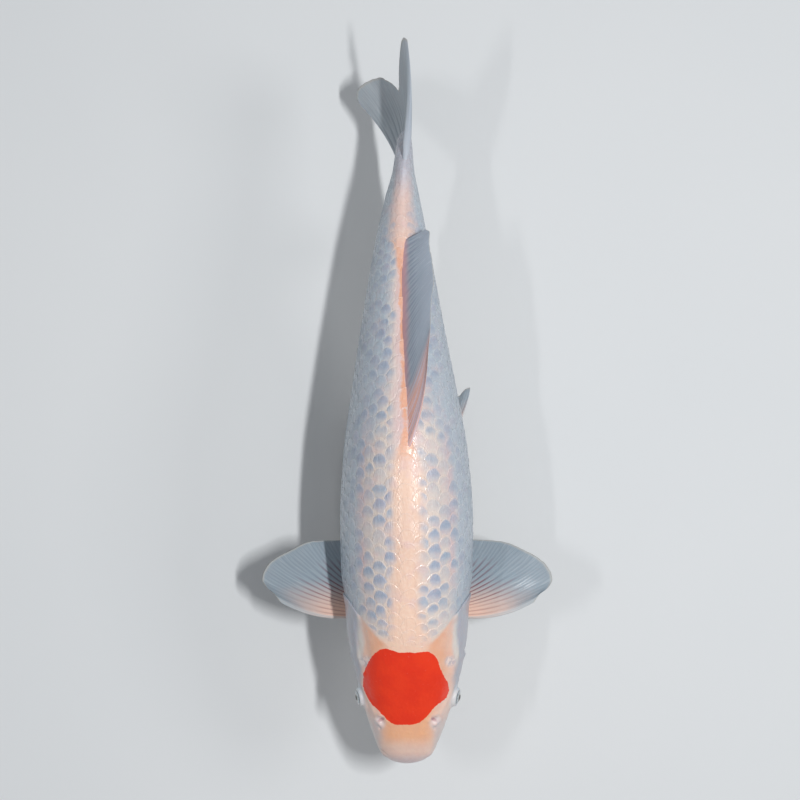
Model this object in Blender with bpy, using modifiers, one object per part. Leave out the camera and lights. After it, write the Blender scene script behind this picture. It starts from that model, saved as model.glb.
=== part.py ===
"""A life-size koi carp, swimming, on a plain display stand.

Metres, +Z up. The origin is the middle of the stand's underside, the head points to -Y and the
fish's left is +X. Places on the fish are written in millimetres as (from the snout, sideways,
up from the body's axis), and place() turns them into the part's frame.
"""

import math

import bmesh
import bpy
import numpy as np
from mathutils import Vector

MM = 0.001

# Driving sizes, in metres. The fish is 0.59 long from snout to tail tip.
SNOUT_Y = -0.205  # the fish balances over the middle of the stand
AXIS_Z = 0.150  # height of the body's axis above the floor
GAP = 0.0003  # between neighbouring solids

# The body's lines, in millimetres: from the snout, half width, level of the widest point,
# back, belly, sideways swing of the spine, squareness of the upper and of the lower half.
LINES = np.array([
    (0, 0, -7, -7, -7, 1.7, 2.3, 2.2),
    (4, 15.3, -6.5, 5, -16.5, 1.7, 2.3, 2.2),
    (12, 22.2, -5.5, 14, -23, 1.7, 2.35, 2.2),
    (28, 29.4, -4, 25, -31, 1.9, 2.5, 2.2),
    (45, 34.9, -2, 33.5, -37, 2.2, 2.6, 2.2),
    (62, 39.6, -1, 42, -42, 2.4, 2.6, 2.2),
    (80, 44.4, 0, 51, -47, 2.5, 2.45, 2.2),
    (110, 49.0, 1, 63.5, -54, 1.9, 2.2, 2.2),
    (140, 51.4, 2, 72, -59.5, 1.7, 2.1, 2.2),
    (156, 54.0, 2, 75.5, -61.5, 1.6, 2.05, 2.2),
    (200, 55.0, 2, 80.5, -66, 1.3, 2.0, 2.2),
    (255, 51.6, 2, 80, -66.5, 0.7, 2.0, 2.2),
    (310, 43.2, 3, 69, -58, -0.7, 2.0, 2.2),
    (370, 32.8, 3, 51.5, -40.5, -2.1, 2.0, 2.1),
    (425, 23.1, 2, 37, -29, -2.6, 2.0, 2.0),
    (465, 14.8, 1, 30.5, -26, -2.2, 2.0, 2.0),
    (490, 8.9, 1, 29, -26.5, -1.2, 2.0, 2.0),
    (512, 6.4, 1, 27, -25, -0.6, 2.0, 2.0),
    (534, 2.0, 1, 24, -22, -0.3, 2.0, 2.0),
])
AROUND = 32  # points in each cross-section
UNDERBITE = 5.0  # how far the chin stands back from the snout
UNDERBITE_FADE = 18.0

# Where the body is parted.
NAPE = 95.0  # the head's end on the back
GILL_EDGE = 141.0  # the head's end on the cheeks
THROAT = 97.0  # the head's end under the chin
HEAD_CORE = 118.0  # middle of the face between head and trunk
TRUNK_PARTS = (205.0, 330.0, 425.0)
TAIL_BASE = 504.0  # the flesh's end above and below the tail
TAIL_BASE_MIDDLE = 532.0  # and between them
PART_GAP = 0.4  # thin cut between two lengths of the body

# Head.
EYE_AT = (57.0, 38.6, 12.5)  # from the snout, from the spine's line, up
EYE_RADIUS = 7.4
EYE_FLATTEN = 0.62  # the ball's share of its radius along its own axis
MOUTH_FRONT = (-4.0, -12.5)  # the slit's plane, as (from the snout, up)
MOUTH_SLOPE = math.radians(-17)
JAW_BACK = 46.0
LIP_RADIUS = 2.8
GILL_CENTRE = (112.0, math.radians(-8))  # from the snout, and round the section
GILL_REACH = (30.5, math.radians(48))
GILL_ROUND = 0.82  # below 1 squares the cover's outline
GILL_THICK = 3.4
GILL_PROUD = 0.9

# Stand.
BASE_SIZE = (0.100, 0.236, 0.012)
BASE_EDGE = 0.0015
ROD_RADIUS = 0.004
ROD_PLACES = (145.0, 262.0)  # from the snout

# Rays' roots and tips, in millimetres, as (share across the fin, from the snout, sideways, up).
# Bow is how far the middle of a ray stands off its straight line.
PECTORAL_ROOT = ((0, 120, 34, -38), (1, 141, 33, -44))
PECTORAL_TIPS = (
    (0, 140, 114, -41), (0.16, 151, 121, -39), (0.34, 163, 116, -39),
    (0.55, 174, 99, -42), (0.78, 182, 78, -47), (1, 183, 54, -52),
)
PECTORAL_BOW = ((0, -10, 1, 2), (0.5, -3, 4, 4), (1, 1, 3, 3))
PELVIC_ROOT = ((0, 243, 24, -56), (1, 257, 13, -60))
PELVIC_TIPS = (
    (0, 306, 54, -79), (0.15, 312.5, 54.5, -82), (0.45, 314, 43, -86),
    (0.75, 306, 30, -86), (1, 292, 18, -80),
)
PELVIC_BOW = ((0, 2, 5, 1), (1, 0, 2, -1))
DORSAL_ROOT = ((0, 256, 0.5, 76), (0.5, 342, -1.2, 56.5), (1, 430, -2.6, 32))
DORSAL_TIPS = (
    (0, 331, 17.8, 86), (0.1, 343, 19, 80), (0.2, 353, 20, 75), (0.44, 379, 21.3, 64),
    (0.6, 397, 23.3, 57), (0.75, 414, 22, 50), (0.88, 428, 19.8, 45), (0.95, 436.5, 20.2, 42),
    (1, 439, 17, 40),
)
DORSAL_BOW = ((0, -4, 3, 4), (0.5, 0, -1, 5), (1, 0, 0, 2))
ANAL_ROOT = ((0, 384, -2.3, -31), (1, 414, -2.6, -25))
ANAL_TIPS = (
    (0, 426, 0, -74), (0.12, 436, 0, -77), (0.4, 443, -2, -64),
    (0.75, 446, -4, -49), (1, 444, -4, -39),
)
ANAL_BOW = ((0, -2, 1, -3), (1, 0, 0, -1))
TAIL_ROOT = ((-1, 490, -1.0, -20), (0, 506, -0.7, 0), (1, 490, -1.0, 22))
TAIL_TIPS = (
    (-1, 551, -40, -78), (-0.9, 560, -40, -76), (-0.72, 569, -32, -64), (-0.5, 571, -22, -45),
    (-0.3, 567, -14, -28), (-0.1, 559, -7.5, -10), (0, 556, -6, -2), (0.15, 558, -5.5, 8),
    (0.4, 567, -4.5, 26), (0.7, 581, -3.5, 48), (0.9, 591, -2, 65), (1, 592, -1, 73),
)
TAIL_BOW = (
    (-1, -1, 5, -2), (-0.5, 0, 7, 0), (0, 0, 6, 0), (0.5, 0, 3, 0), (0.85, 0, 4, 2), (1, 0, 5, 4),
)
BARBELS = {  # root, knee and tip of each on the fish's left
    "barbel_front": ((10, 15.0, -12.5), (13, 17, -19), (17, 16.5, -25)),
    "barbel_rear": ((22, 22.0, -20.0), (29, 24, -28), (38, 23, -37)),
}
BARBEL_RADIUS = 1.35
BARBEL_TIP = 0.42  # share of the radius left at the tip


def clear_scene():
    """Remove whatever the file opened with."""
    for obj in list(bpy.data.objects):
        bpy.data.objects.remove(obj)


def collection(name):
    """A collection linked to the scene."""
    made = bpy.data.collections.new(name)
    bpy.context.scene.collection.children.link(made)
    return made


def finish(name, colour, roughness, metallic=0.0):
    """A plain Principled finish."""
    material = bpy.data.materials.new(name)
    material.use_nodes = True
    shader = material.node_tree.nodes["Principled BSDF"]
    shader.inputs["Base Color"].default_value = (*colour, 1)
    shader.inputs["Roughness"].default_value = roughness
    shader.inputs["Metallic"].default_value = metallic
    return material


def smooth_through(knots, values, at):
    """Values read from a smooth curve through the knots that never overshoots them."""
    knots, values, at = (np.asarray(a, float) for a in (knots, values, at))
    step = np.diff(knots)
    slope = np.diff(values) / step
    weights = (2 * step[1:] + step[:-1], step[1:] + 2 * step[:-1])
    alike = slope[:-1] * slope[1:] > 0
    before, after = (np.where(alike, part, 1) for part in (slope[:-1], slope[1:]))
    harmonic = (weights[0] + weights[1]) / (weights[0] / before + weights[1] / after)
    inner = np.where(alike, harmonic, 0)
    tangent = np.concatenate([slope[:1], inner, slope[-1:]])
    i = np.clip(np.searchsorted(knots, at, side="right") - 1, 0, len(step) - 1)
    u = (at - knots[i]) / step[i]
    return (
        values[i] * (1 + 2 * u) * (1 - u) ** 2
        + step[i] * tangent[i] * u * (1 - u) ** 2
        + values[i + 1] * u * u * (3 - 2 * u)
        + step[i] * tangent[i + 1] * u * u * (u - 1)
    )


def place(along, sideways, up):
    """Points in the part's frame from millimetres on the fish."""
    along, sideways, up = np.broadcast_arrays(*(np.asarray(a, float) for a in (along, sideways, up)))
    return np.stack([sideways * MM, SNOUT_Y + along * MM, AXIS_Z + up * MM], axis=-1)


def lines_at(along):
    """The body's lines at these distances from the snout. Sizes that start from nothing at the
    snout are read as squares, which rounds it."""
    knots = LINES[:, 0]
    level = smooth_through(knots, LINES[:, 2], along)
    half = np.sqrt(np.maximum(smooth_through(knots, LINES[:, 1] ** 2, along), 0))
    rise = np.sqrt(np.maximum(smooth_through(knots, (LINES[:, 3] - LINES[:, 2]) ** 2, along), 0))
    drop = np.sqrt(np.maximum(smooth_through(knots, (LINES[:, 2] - LINES[:, 4]) ** 2, along), 0))
    swing = smooth_through(knots, LINES[:, 5], along)
    square_up = smooth_through(knots, LINES[:, 6], along)
    square_down = smooth_through(knots, LINES[:, 7], along)
    return half, level, rise, drop, swing, square_up, square_down


def body_surface(along, turn, grow=0.0):
    """Points on the body's surface, in millimetres on the fish. Turn is 0 on the left flank and
    a quarter turn on the back; grow moves the surface outwards."""
    half, level, rise, drop, swing, square_up, square_down = lines_at(along)
    cos, sin = np.cos(turn), np.sin(turn)
    power = 2 / np.where(sin >= 0, square_up, square_down)
    height = np.where(sin >= 0, rise, drop) + grow
    sideways = swing + (half + grow) * np.sign(cos) * np.abs(cos) ** power
    up = level + height * np.sign(sin) * np.abs(sin) ** power
    behind = UNDERBITE * np.maximum(-sin, 0) ** 1.5 * np.exp(-along / UNDERBITE_FADE)
    return np.broadcast_arrays(along + behind, sideways, up)


def mesh_object(name, bm, group, material):
    """An object from a bmesh, its faces turned outwards and smooth."""
    bmesh.ops.recalc_face_normals(bm, faces=bm.faces)
    mesh = bpy.data.meshes.new(name)
    bm.to_mesh(mesh)
    bm.free()
    mesh.shade_smooth()
    mesh.set_sharp_from_angle(angle=math.radians(40))
    obj = bpy.data.objects.new(name, mesh)
    group.objects.link(obj)
    if material:
        mesh.materials.append(material)
    else:
        obj.hide_render = True
        obj.display_type = "WIRE"
    return obj


def loft(name, rings, start, end, group, material):
    """A closed skin over rings of points, with a point in the middle of each end."""
    bm = bmesh.new()
    rows = [[bm.verts.new(p) for p in ring] for ring in rings]
    for row, following in zip(rows, rows[1:]):
        for i in range(len(row)):
            j = (i + 1) % len(row)
            bm.faces.new((row[i], row[j], following[j], following[i]))
    for row, tip in ((rows[0], bm.verts.new(start)), (rows[-1], bm.verts.new(end))):
        for i in range(len(row)):
            bm.faces.new((row[i], row[(i + 1) % len(row)], tip))
    return mesh_object(name, bm, group, material)


def head_seam(turn):
    """How far from the snout the head ends, round the section: far back on the cheeks."""
    sin = np.sin(turn)
    end = np.where(sin >= 0, NAPE, THROAT)
    return end + (GILL_EDGE - end) * (1 - np.abs(sin) ** 2.6) ** 1.1


def tail_seam(turn):
    """How far from the snout the flesh ends, round the section: in two scallops on the tail."""
    return TAIL_BASE + (TAIL_BASE_MIDDLE - TAIL_BASE) * (1 - np.abs(np.sin(turn)) ** 1.5)


def rings_between(seams, shares, grow=0.0):
    """Rings of points round the body, between two seams that may curve round the section.

    Args: seams are two functions of the turn; shares say where the rings lie between them.
    """
    turn = np.linspace(0, 2 * math.pi, AROUND, endpoint=False)
    nose, rear = (seam(turn) for seam in seams)
    return [place(*body_surface(nose * (1 - v) + rear * v, turn, grow)) for v in shares]


def on_axis(along):
    """The middle of the body at this distance from the snout."""
    _, level, _, _, swing, _, _ = lines_at(np.array(along))
    return place(along, swing, level)


def flat(along):
    """A seam straight across the body."""
    return lambda turn: np.full_like(turn, along)


def build_body(group, cutters, material):
    """Head, three lengths of trunk, the tail's stem, and the swollen body that cuts the fins."""
    starts = (flat(0), lambda turn: head_seam(turn) + PART_GAP) + tuple(
        flat(along + PART_GAP) for along in TRUNK_PARTS)
    ends = (head_seam,) + tuple(flat(along) for along in TRUNK_PARTS) + (tail_seam,)
    last = (HEAD_CORE,) + TRUNK_PARTS + (TAIL_BASE_MIDDLE - 0.5,)
    first = (0,) + tuple(along + PART_GAP for along in last)
    shares = (np.linspace(0, 1, 14)[1:] ** 1.5,) + (np.linspace(0, 1, 7),) * 4
    names = ("head", "trunk_front", "trunk_middle", "trunk_rear", "tail_stem")
    pieces, swollen = [], []
    for name, start, end, near, far, share in zip(names, starts, ends, first, last, shares):
        rings = rings_between((start, end), share)
        pieces.append(loft(name, rings, on_axis(near), on_axis(far), group, material))
        swollen += rings_between((start, end), share, GAP / MM)
    beyond = flat(0), lambda turn: tail_seam(turn) + GAP / MM
    swollen += rings_between(beyond, (1,), GAP / MM)
    tips = on_axis(-GAP / MM), on_axis(last[-1] + 2 * GAP / MM)
    return pieces, loft("body_cutter", swollen, *tips, cutters, None)


def cut(obj, cutter, operation="DIFFERENCE"):
    """Cut one object with another, by a Boolean that stays live."""
    modifier = obj.modifiers.new(f"cut_{cutter.name}", "BOOLEAN")
    modifier.operation = operation
    modifier.object = cutter
    modifier.solver = "EXACT"


def row_reader(rows):
    """A smooth function of the share across a fin, from its few named rows."""
    table = np.array(rows, float)
    if len(table) == 2:
        return lambda v: [np.interp(v, table[:, 0], table[:, k]) for k in (1, 2, 3)]
    return lambda v: [smooth_through(table[:, 0], table[:, k], v) for k in (1, 2, 3)]


def fin(name, rows, span, cells, thick, group, material, cutter, side=1, paired=False):
    """A thin fin: a sheet of rays from root to tip, thickened, and cut off at the body.

    Args: rows are the root, tip and bow rows; span is the share across it, from and to; cells
    are the sheet's cells along and across; thick is at root and margin, in millimetres; side is
    -1 for the fish's right; the rows of a paired fin are measured from the spine's line.
    """
    root, tip, bow = (row_reader(r) for r in rows)
    middle = lines_at(np.array(rows[0][0][1]))[4] if paired else 0.0
    bm = bmesh.new()
    bmesh.ops.create_grid(bm, x_segments=cells[0], y_segments=cells[1], size=0.5)
    weights = {}
    for vert in bm.verts:
        u, v = vert.co.x + 0.5, span[0] + (vert.co.y + 0.5) * (span[1] - span[0])
        point = [
            a * (1 - u) + b * u + c * 4 * u * (1 - u)
            for a, b, c in zip(root(v), tip(v), bow(v))
        ]
        vert.co = place(point[0], middle + side * point[1], point[2])
        weights[vert.index] = (1 - u) ** 2
    obj = mesh_object(name, bm, group, material)
    thickness = obj.vertex_groups.new(name="thickness")
    for index, weight in weights.items():
        thickness.add([index], weight, "REPLACE")
    solid = obj.modifiers.new("thickness", "SOLIDIFY")
    solid.thickness = thick[0] * MM
    solid.offset = 0
    solid.vertex_group = "thickness"
    solid.thickness_vertex_group = thick[1] / thick[0]
    cut(obj, cutter)
    return obj


def build_fins(group, cutter, material):
    """Every fin; the pairs are mirrored, but the right pelvic is held closer to the belly."""
    made = {}
    for side, word in ((1, "left"), (-1, "right")):
        rows = (PECTORAL_ROOT, PECTORAL_TIPS, PECTORAL_BOW)
        made[word] = fin(
            f"pectoral_fin_{word}", rows, (0, 1), (8, 10), (3.6, 0.7), group, material, cutter,
            side, True)
        tips = PELVIC_TIPS
        if side < 0:
            tips = tuple((v, along, out * 0.72, up - 5) for v, along, out, up in PELVIC_TIPS)
        fin(
            f"pelvic_fin_{word}", (PELVIC_ROOT, tips, PELVIC_BOW), (0, 1), (7, 7), (3.2, 0.7),
            group, material, cutter, side, True)
    rows = (DORSAL_ROOT, DORSAL_TIPS, DORSAL_BOW)
    fin("dorsal_fin", rows, (0, 1), (7, 18), (3.4, 0.7), group, material, cutter)
    rows = (ANAL_ROOT, ANAL_TIPS, ANAL_BOW)
    fin("anal_fin", rows, (0, 1), (7, 7), (3.2, 0.7), group, material, cutter)
    rows = (TAIL_ROOT, TAIL_TIPS, TAIL_BOW)
    fin("tail_lobe_upper", rows, (0.006, 1), (9, 9), (4.4, 0.7), group, material, cutter)
    fin("tail_lobe_lower", rows, (-1, -0.006), (9, 9), (4.4, 0.7), group, material, cutter)
    return made


def ball(name, radius, squash, centre, axis, group, material):
    """A flattened ball whose short way lies along axis, at a point in the part's frame."""
    bm = bmesh.new()
    bmesh.ops.create_uvsphere(bm, u_segments=18, v_segments=9, radius=radius)
    obj = mesh_object(name, bm, group, material)
    for vert in obj.data.vertices:
        vert.co.z *= squash
    obj.location = centre
    obj.rotation_mode = "QUATERNION"
    obj.rotation_quaternion = Vector(axis).to_track_quat("Z", "Y")
    return obj


def build_eyes(group, cutters, head, material):
    """Flattened eyeballs in sockets, looking sideways, a little forwards and up."""
    along, out, up = EYE_AT
    swing = lines_at(np.array(along))[4]
    for side, word in ((1, "left"), (-1, "right")):
        centre = place(along, swing + side * out, up)
        axis = (side * 0.95, -0.22, 0.22)
        ball(f"eye_{word}", EYE_RADIUS * MM, EYE_FLATTEN, centre, axis, group, material)
        swollen = EYE_RADIUS * MM + GAP
        share = (EYE_RADIUS * MM * EYE_FLATTEN + GAP) / swollen
        cut(head, ball(f"socket_{word}", swollen, share, centre, axis, cutters, None))


def squared(share):
    """A sine or cosine pushed outwards, which squares the round outline drawn with it."""
    return np.sign(share) * np.abs(share) ** GILL_ROUND


def gill_plate(name, side, grow, inner, outer, group, material):
    """A curved plate over the cheek, between two depths from the skin.

    Args: side is -1 for the fish's right; grow widens the outline, inner and outer are offsets
    from the body's surface, all in millimetres.
    """
    rings, around = 3, 26
    angle = np.linspace(0, 2 * math.pi, around, endpoint=False)
    bm = bmesh.new()
    faces = []
    for offset in (inner, outer):
        rows = []
        for ring in range(rings + 1):
            share = ring / rings
            spread = angle if ring else angle[:1]
            along = GILL_CENTRE[0] + share * (GILL_REACH[0] + grow) * squared(np.cos(spread))
            turn = GILL_CENTRE[1] + share * (GILL_REACH[1] + grow / 50) * squared(np.sin(spread))
            if side < 0:
                turn = math.pi - turn
            points = place(*body_surface(along, turn, offset))
            rows.append([bm.verts.new(point) for point in points])
        faces.append(rows)
    for rows in faces:
        for k in range(around):
            after = (k + 1) % around
            bm.faces.new((rows[0][0], rows[1][k], rows[1][after]))
            for near, far in zip(rows[1:], rows[2:]):
                bm.faces.new((near[k], far[k], far[after], near[after]))
    low, high = faces[0][rings], faces[1][rings]
    for k in range(around):
        after = (k + 1) % around
        bm.faces.new((low[k], low[after], high[after], high[k]))
    return mesh_object(name, bm, group, material)


def build_gill_covers(group, cutters, neighbours, material):
    """The two gill covers, let into the head and the shoulder."""
    gap = GAP / MM
    for side, word in ((1, "left"), (-1, "right")):
        gill_plate(f"gill_cover_{word}", side, 0, -GILL_THICK, GILL_PROUD, group, material)
        cutter = gill_plate(
            f"gill_recess_{word}", side, gap * 3, -GILL_THICK - gap * 2.5, GILL_PROUD + 4, cutters,
            None)
        for neighbour in neighbours:
            cut(neighbour, cutter)


def tube(name, points, radius, tip_share, group, material, sides=2):
    """A round bar along a smooth line through points in the part's frame, as a mesh."""
    data = bpy.data.curves.new(name, "CURVE")
    data.dimensions = "3D"
    data.bevel_depth = radius
    data.bevel_resolution = sides
    data.use_fill_caps = True
    spline = data.splines.new("POLY")
    spline.points.add(len(points) - 1)
    for i, (point, target) in enumerate(zip(points, spline.points)):
        target.co = (*point, 1)
        target.radius = 1 - (1 - tip_share) * i / (len(points) - 1)
    guide = bpy.data.objects.new(f"{name}_line", data)
    bpy.context.scene.collection.objects.link(guide)
    bpy.context.view_layer.update()
    mesh = bpy.data.meshes.new_from_object(guide.evaluated_get(bpy.context.evaluated_depsgraph_get()))
    bm = bmesh.new()
    bm.from_mesh(mesh)
    bmesh.ops.remove_doubles(bm, verts=bm.verts, dist=1e-5)
    bpy.data.meshes.remove(mesh)
    bpy.data.objects.remove(guide)
    return mesh_object(name, bm, group, material)


def bent_line(knots, count):
    """Points on a smooth arc through three knots given in millimetres on the fish."""
    start, knee, end = (np.array(k, float) for k in knots)
    control = 2 * knee - (start + end) / 2
    u = np.linspace(0, 1, count)[:, None]
    line = start * (1 - u) ** 2 + control * 2 * u * (1 - u) + end * u * u
    return place(line[:, 0], line[:, 1], line[:, 2])


def lip_line(count):
    """The upper lip's line: round the snout just above the mouth's slit, corner to corner."""
    angle = np.linspace(-1, 1, count) * math.radians(82)
    along = 21.8 * (1 - np.cos(angle)) + 2.6
    sideways = LINES[0, 5] + 22.3 * np.sin(angle)
    up = -10.8 - 0.33 * along
    return place(along, sideways, up)


def build_mouth(group, cutters, head, material):
    """The lower jaw, cut out of the head by a sloping box, the upper lip and the barbels."""
    jaw = head.copy()
    jaw.data = head.data.copy()
    jaw.name = "lower_jaw"
    jaw.modifiers.clear()
    group.objects.link(jaw)
    for name, spare in (("jaw_block", 0.0), ("jaw_clearance", GAP)):
        bm = bmesh.new()
        bmesh.ops.create_cube(bm, size=1)
        block = mesh_object(name, bm, cutters, None)
        length, width, depth = (JAW_BACK + 8) * MM, 0.12, 0.06
        middle = place(MOUTH_FRONT[0], 0, MOUTH_FRONT[1])
        forward = np.array([0, math.cos(MOUTH_SLOPE), math.sin(MOUTH_SLOPE)])
        down = np.array([0, math.sin(MOUTH_SLOPE), -math.cos(MOUTH_SLOPE)])
        block.scale = (width + spare, length + 2 * spare, depth + 2 * spare)
        block.location = middle + forward * (length / 2 - 4 * MM) + down * depth / 2
        block.rotation_euler = (MOUTH_SLOPE, 0, 0)
        cut(jaw if spare == 0 else head, block, "INTERSECT" if spare == 0 else "DIFFERENCE")
    lip = tube("upper_lip", lip_line(19), LIP_RADIUS * MM, 1, group, material, 1)
    clearance = tube("lip_clearance", lip_line(19), LIP_RADIUS * MM + GAP, 1, cutters, None, 1)
    cut(head, clearance)
    cut(jaw, clearance)
    return lip, clearance


def build_barbels(group, body_cutter, lip_cutter, material):
    """Two feelers on each side of the mouth, hanging under the snout."""
    for word, knots in BARBELS.items():
        for side, hand in ((1, "left"), (-1, "right")):
            placed = [(a, LINES[0, 5] + side * s, u) for a, s, u in knots]
            barbel = tube(
                f"{word}_{hand}", bent_line(placed, 9), BARBEL_RADIUS * MM, BARBEL_TIP, group, material)
            cut(barbel, body_cutter)
            cut(barbel, lip_cutter)


def build_stand(group, body_cutter, base_finish, rod_finish):
    """An oval base and two rods up to the belly."""
    bm = bmesh.new()
    bmesh.ops.create_cone(
        bm, cap_ends=True, segments=40, radius1=0.5, radius2=0.5, depth=1)
    for vert in bm.verts:
        vert.co = (
            vert.co.x * BASE_SIZE[0], vert.co.y * BASE_SIZE[1], (vert.co.z + 0.5) * BASE_SIZE[2])
    base = mesh_object("stand_base", bm, group, base_finish)
    edge = base.modifiers.new("edge", "BEVEL")
    edge.width = BASE_EDGE
    edge.segments = 2
    edge.limit_method = "ANGLE"
    for along, word in zip(ROD_PLACES, ("front", "rear")):
        foot = BASE_SIZE[2] + GAP
        top = place(along, 0, 0)
        bm = bmesh.new()
        bmesh.ops.create_cone(
            bm, cap_ends=True, segments=16, radius1=ROD_RADIUS, radius2=ROD_RADIUS,
            depth=top[2] - foot)
        rod = mesh_object(f"stand_rod_{word}", bm, group, rod_finish)
        rod.location = (0, top[1], (foot + top[2]) / 2)
        cut(rod, body_cutter)


def main():
    """Build the whole part."""
    clear_scene()
    fish, cutters = collection("Koi"), collection("Cutters")
    skin = finish("skin", (0.80, 0.74, 0.71), 0.3)
    cheek = finish("gill_cover", (0.66, 0.66, 0.69), 0.3)
    lips = finish("lips", (0.78, 0.66, 0.62), 0.35)
    web = finish("fin", (0.56, 0.58, 0.60), 0.4)
    eye = finish("eye", (0.55, 0.55, 0.50), 0.1)
    painted = finish("stand_base", (0.02, 0.02, 0.022), 0.4)
    steel = finish("stand_rod", (0.55, 0.55, 0.56), 0.3, 1.0)
    (head, shoulder, *_), body_cutter = build_body(fish, cutters, skin)
    _, lip_cutter = build_mouth(fish, cutters, head, lips)
    build_barbels(fish, body_cutter, lip_cutter, lips)
    build_eyes(fish, cutters, head, eye)
    build_gill_covers(fish, cutters, (head, shoulder), cheek)
    for word, pectoral in build_fins(fish, body_cutter, web).items():
        cut(pectoral, bpy.data.objects[f"gill_recess_{word}"])
    build_stand(fish, body_cutter, painted, steel)


main()
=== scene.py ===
"""Looks of a life-size koi carp, swimming, on a plain display stand.

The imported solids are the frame. One skin with the head's folds takes the place of the flesh,
scales lie over it, and each fin is a ribbed sheet. Places on the fish are written in millimetres
as (from the snout, sideways, up from the body's axis); BodyForm.place() turns points that are
ordered as the frame's axes into the frame's metres.
"""

from __future__ import annotations

import logging
import math
from dataclasses import dataclass
from enum import Enum
from typing import Any, Callable

import bmesh
import bpy
import numpy as np
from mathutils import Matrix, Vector


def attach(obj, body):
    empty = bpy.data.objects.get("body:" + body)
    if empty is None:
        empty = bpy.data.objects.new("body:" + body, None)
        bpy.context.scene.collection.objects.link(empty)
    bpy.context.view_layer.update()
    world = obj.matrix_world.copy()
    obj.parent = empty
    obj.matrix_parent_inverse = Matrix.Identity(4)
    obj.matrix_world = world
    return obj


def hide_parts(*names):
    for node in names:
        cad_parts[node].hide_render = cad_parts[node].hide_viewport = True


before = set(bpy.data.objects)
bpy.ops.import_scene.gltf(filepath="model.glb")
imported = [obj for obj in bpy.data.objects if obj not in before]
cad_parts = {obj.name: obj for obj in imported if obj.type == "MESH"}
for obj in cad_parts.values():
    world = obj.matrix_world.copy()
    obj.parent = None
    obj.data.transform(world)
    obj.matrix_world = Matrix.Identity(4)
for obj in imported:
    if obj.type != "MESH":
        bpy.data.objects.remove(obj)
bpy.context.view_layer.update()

MM = 0.001
BODY = "root"
FOLD_FADE = 0.18  # share of a fold's length over which it rises at each end
BEFORE_SEAM = -90.0  # stands for a place far in front of the head's seam
BEFORE_TAIL = -500.0  # stands for a place far in front of the tail fin
LOG = logging.getLogger("koi")
Array = np.ndarray
Piece = bpy.types.Object
Material = bpy.types.Material
Pairs = tuple[tuple[float, float], ...]
Triples = tuple[tuple[float, float, float], ...]
Rows = tuple[tuple[float, float, float, float], ...]


class Side(Enum):
    """The fish's own left and right, with the sign of the sideways axis."""

    LEFT = 1
    RIGHT = -1

    @property
    def word(self) -> str:
        """The side's word in the names of pieces."""
        return self.name.lower()


class Finish(Enum):
    """The record's material slots for the fish; the stand's solids keep their own."""

    SKIN = "skin"
    LIPS = "lips"
    FIN = "fin"
    EYE = "eye"


# ---------------------------------------------------------------- nodes


def paint(code: str) -> tuple[float, float, float, float]:
    """A linear colour from its six hexadecimal digits on a screen."""
    parts = [int(code[i:i + 2], 16) / 255 for i in (0, 2, 4)]
    linear = [c / 12.92 if c <= 0.04045 else ((c + 0.055) / 1.055) ** 2.4 for c in parts]
    return (*linear, 1.0)


class Value:
    """A node's output that can be used in arithmetic; each operation adds a Math node."""

    def __init__(self, nodes: Nodes, socket: bpy.types.NodeSocket) -> None:
        """Keep the output socket and the tree that it is in."""
        self.nodes = nodes
        self.socket = socket

    def math(self, operation: str, *others: Any) -> Value:
        """The result of a Math node on this value and others."""
        return self.nodes.math(operation, self, *others)

    def __add__(self, other: Any) -> Value:
        """Sum."""
        return self.math("ADD", other)

    __radd__ = __add__

    def __sub__(self, other: Any) -> Value:
        """Difference."""
        return self.math("SUBTRACT", other)

    def __rsub__(self, other: Any) -> Value:
        """Difference, the other way round."""
        return self.nodes.math("SUBTRACT", other, self)

    def __mul__(self, other: Any) -> Value:
        """Product."""
        return self.math("MULTIPLY", other)

    __rmul__ = __mul__

    def __truediv__(self, other: Any) -> Value:
        """Quotient."""
        return self.math("DIVIDE", other)

    def __abs__(self) -> Value:
        """Size without the sign."""
        return self.math("ABSOLUTE")

    def at_least(self, other: Any) -> Value:
        """The larger of two values."""
        return self.math("MAXIMUM", other)

    def at_most(self, other: Any) -> Value:
        """The smaller of two values."""
        return self.math("MINIMUM", other)

    def rise(self, low: Any, high: Any) -> Value:
        """0 below low, 1 above high, and a smooth step between them."""
        return self.nodes.step(self, low, high)

    def fall(self, low: Any, high: Any) -> Value:
        """1 below low, 0 above high, and a smooth step between them."""
        return 1 - self.rise(low, high)

    def hump(self, centre: float, reach: float) -> Value:
        """1 at the centre, falling smoothly to 0 at this distance from it."""
        return abs(self - centre).fall(0, reach)

    def hypot(self, other: Any) -> Value:
        """Distance of a place whose coordinates are this value and another."""
        return (self * self + other * other).math("SQRT")

    def covered(self, share: Any, colour: Any) -> Value:
        """This colour with another over it, at a share from 0 to 1."""
        return self.nodes.mix(share, self, colour)


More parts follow.
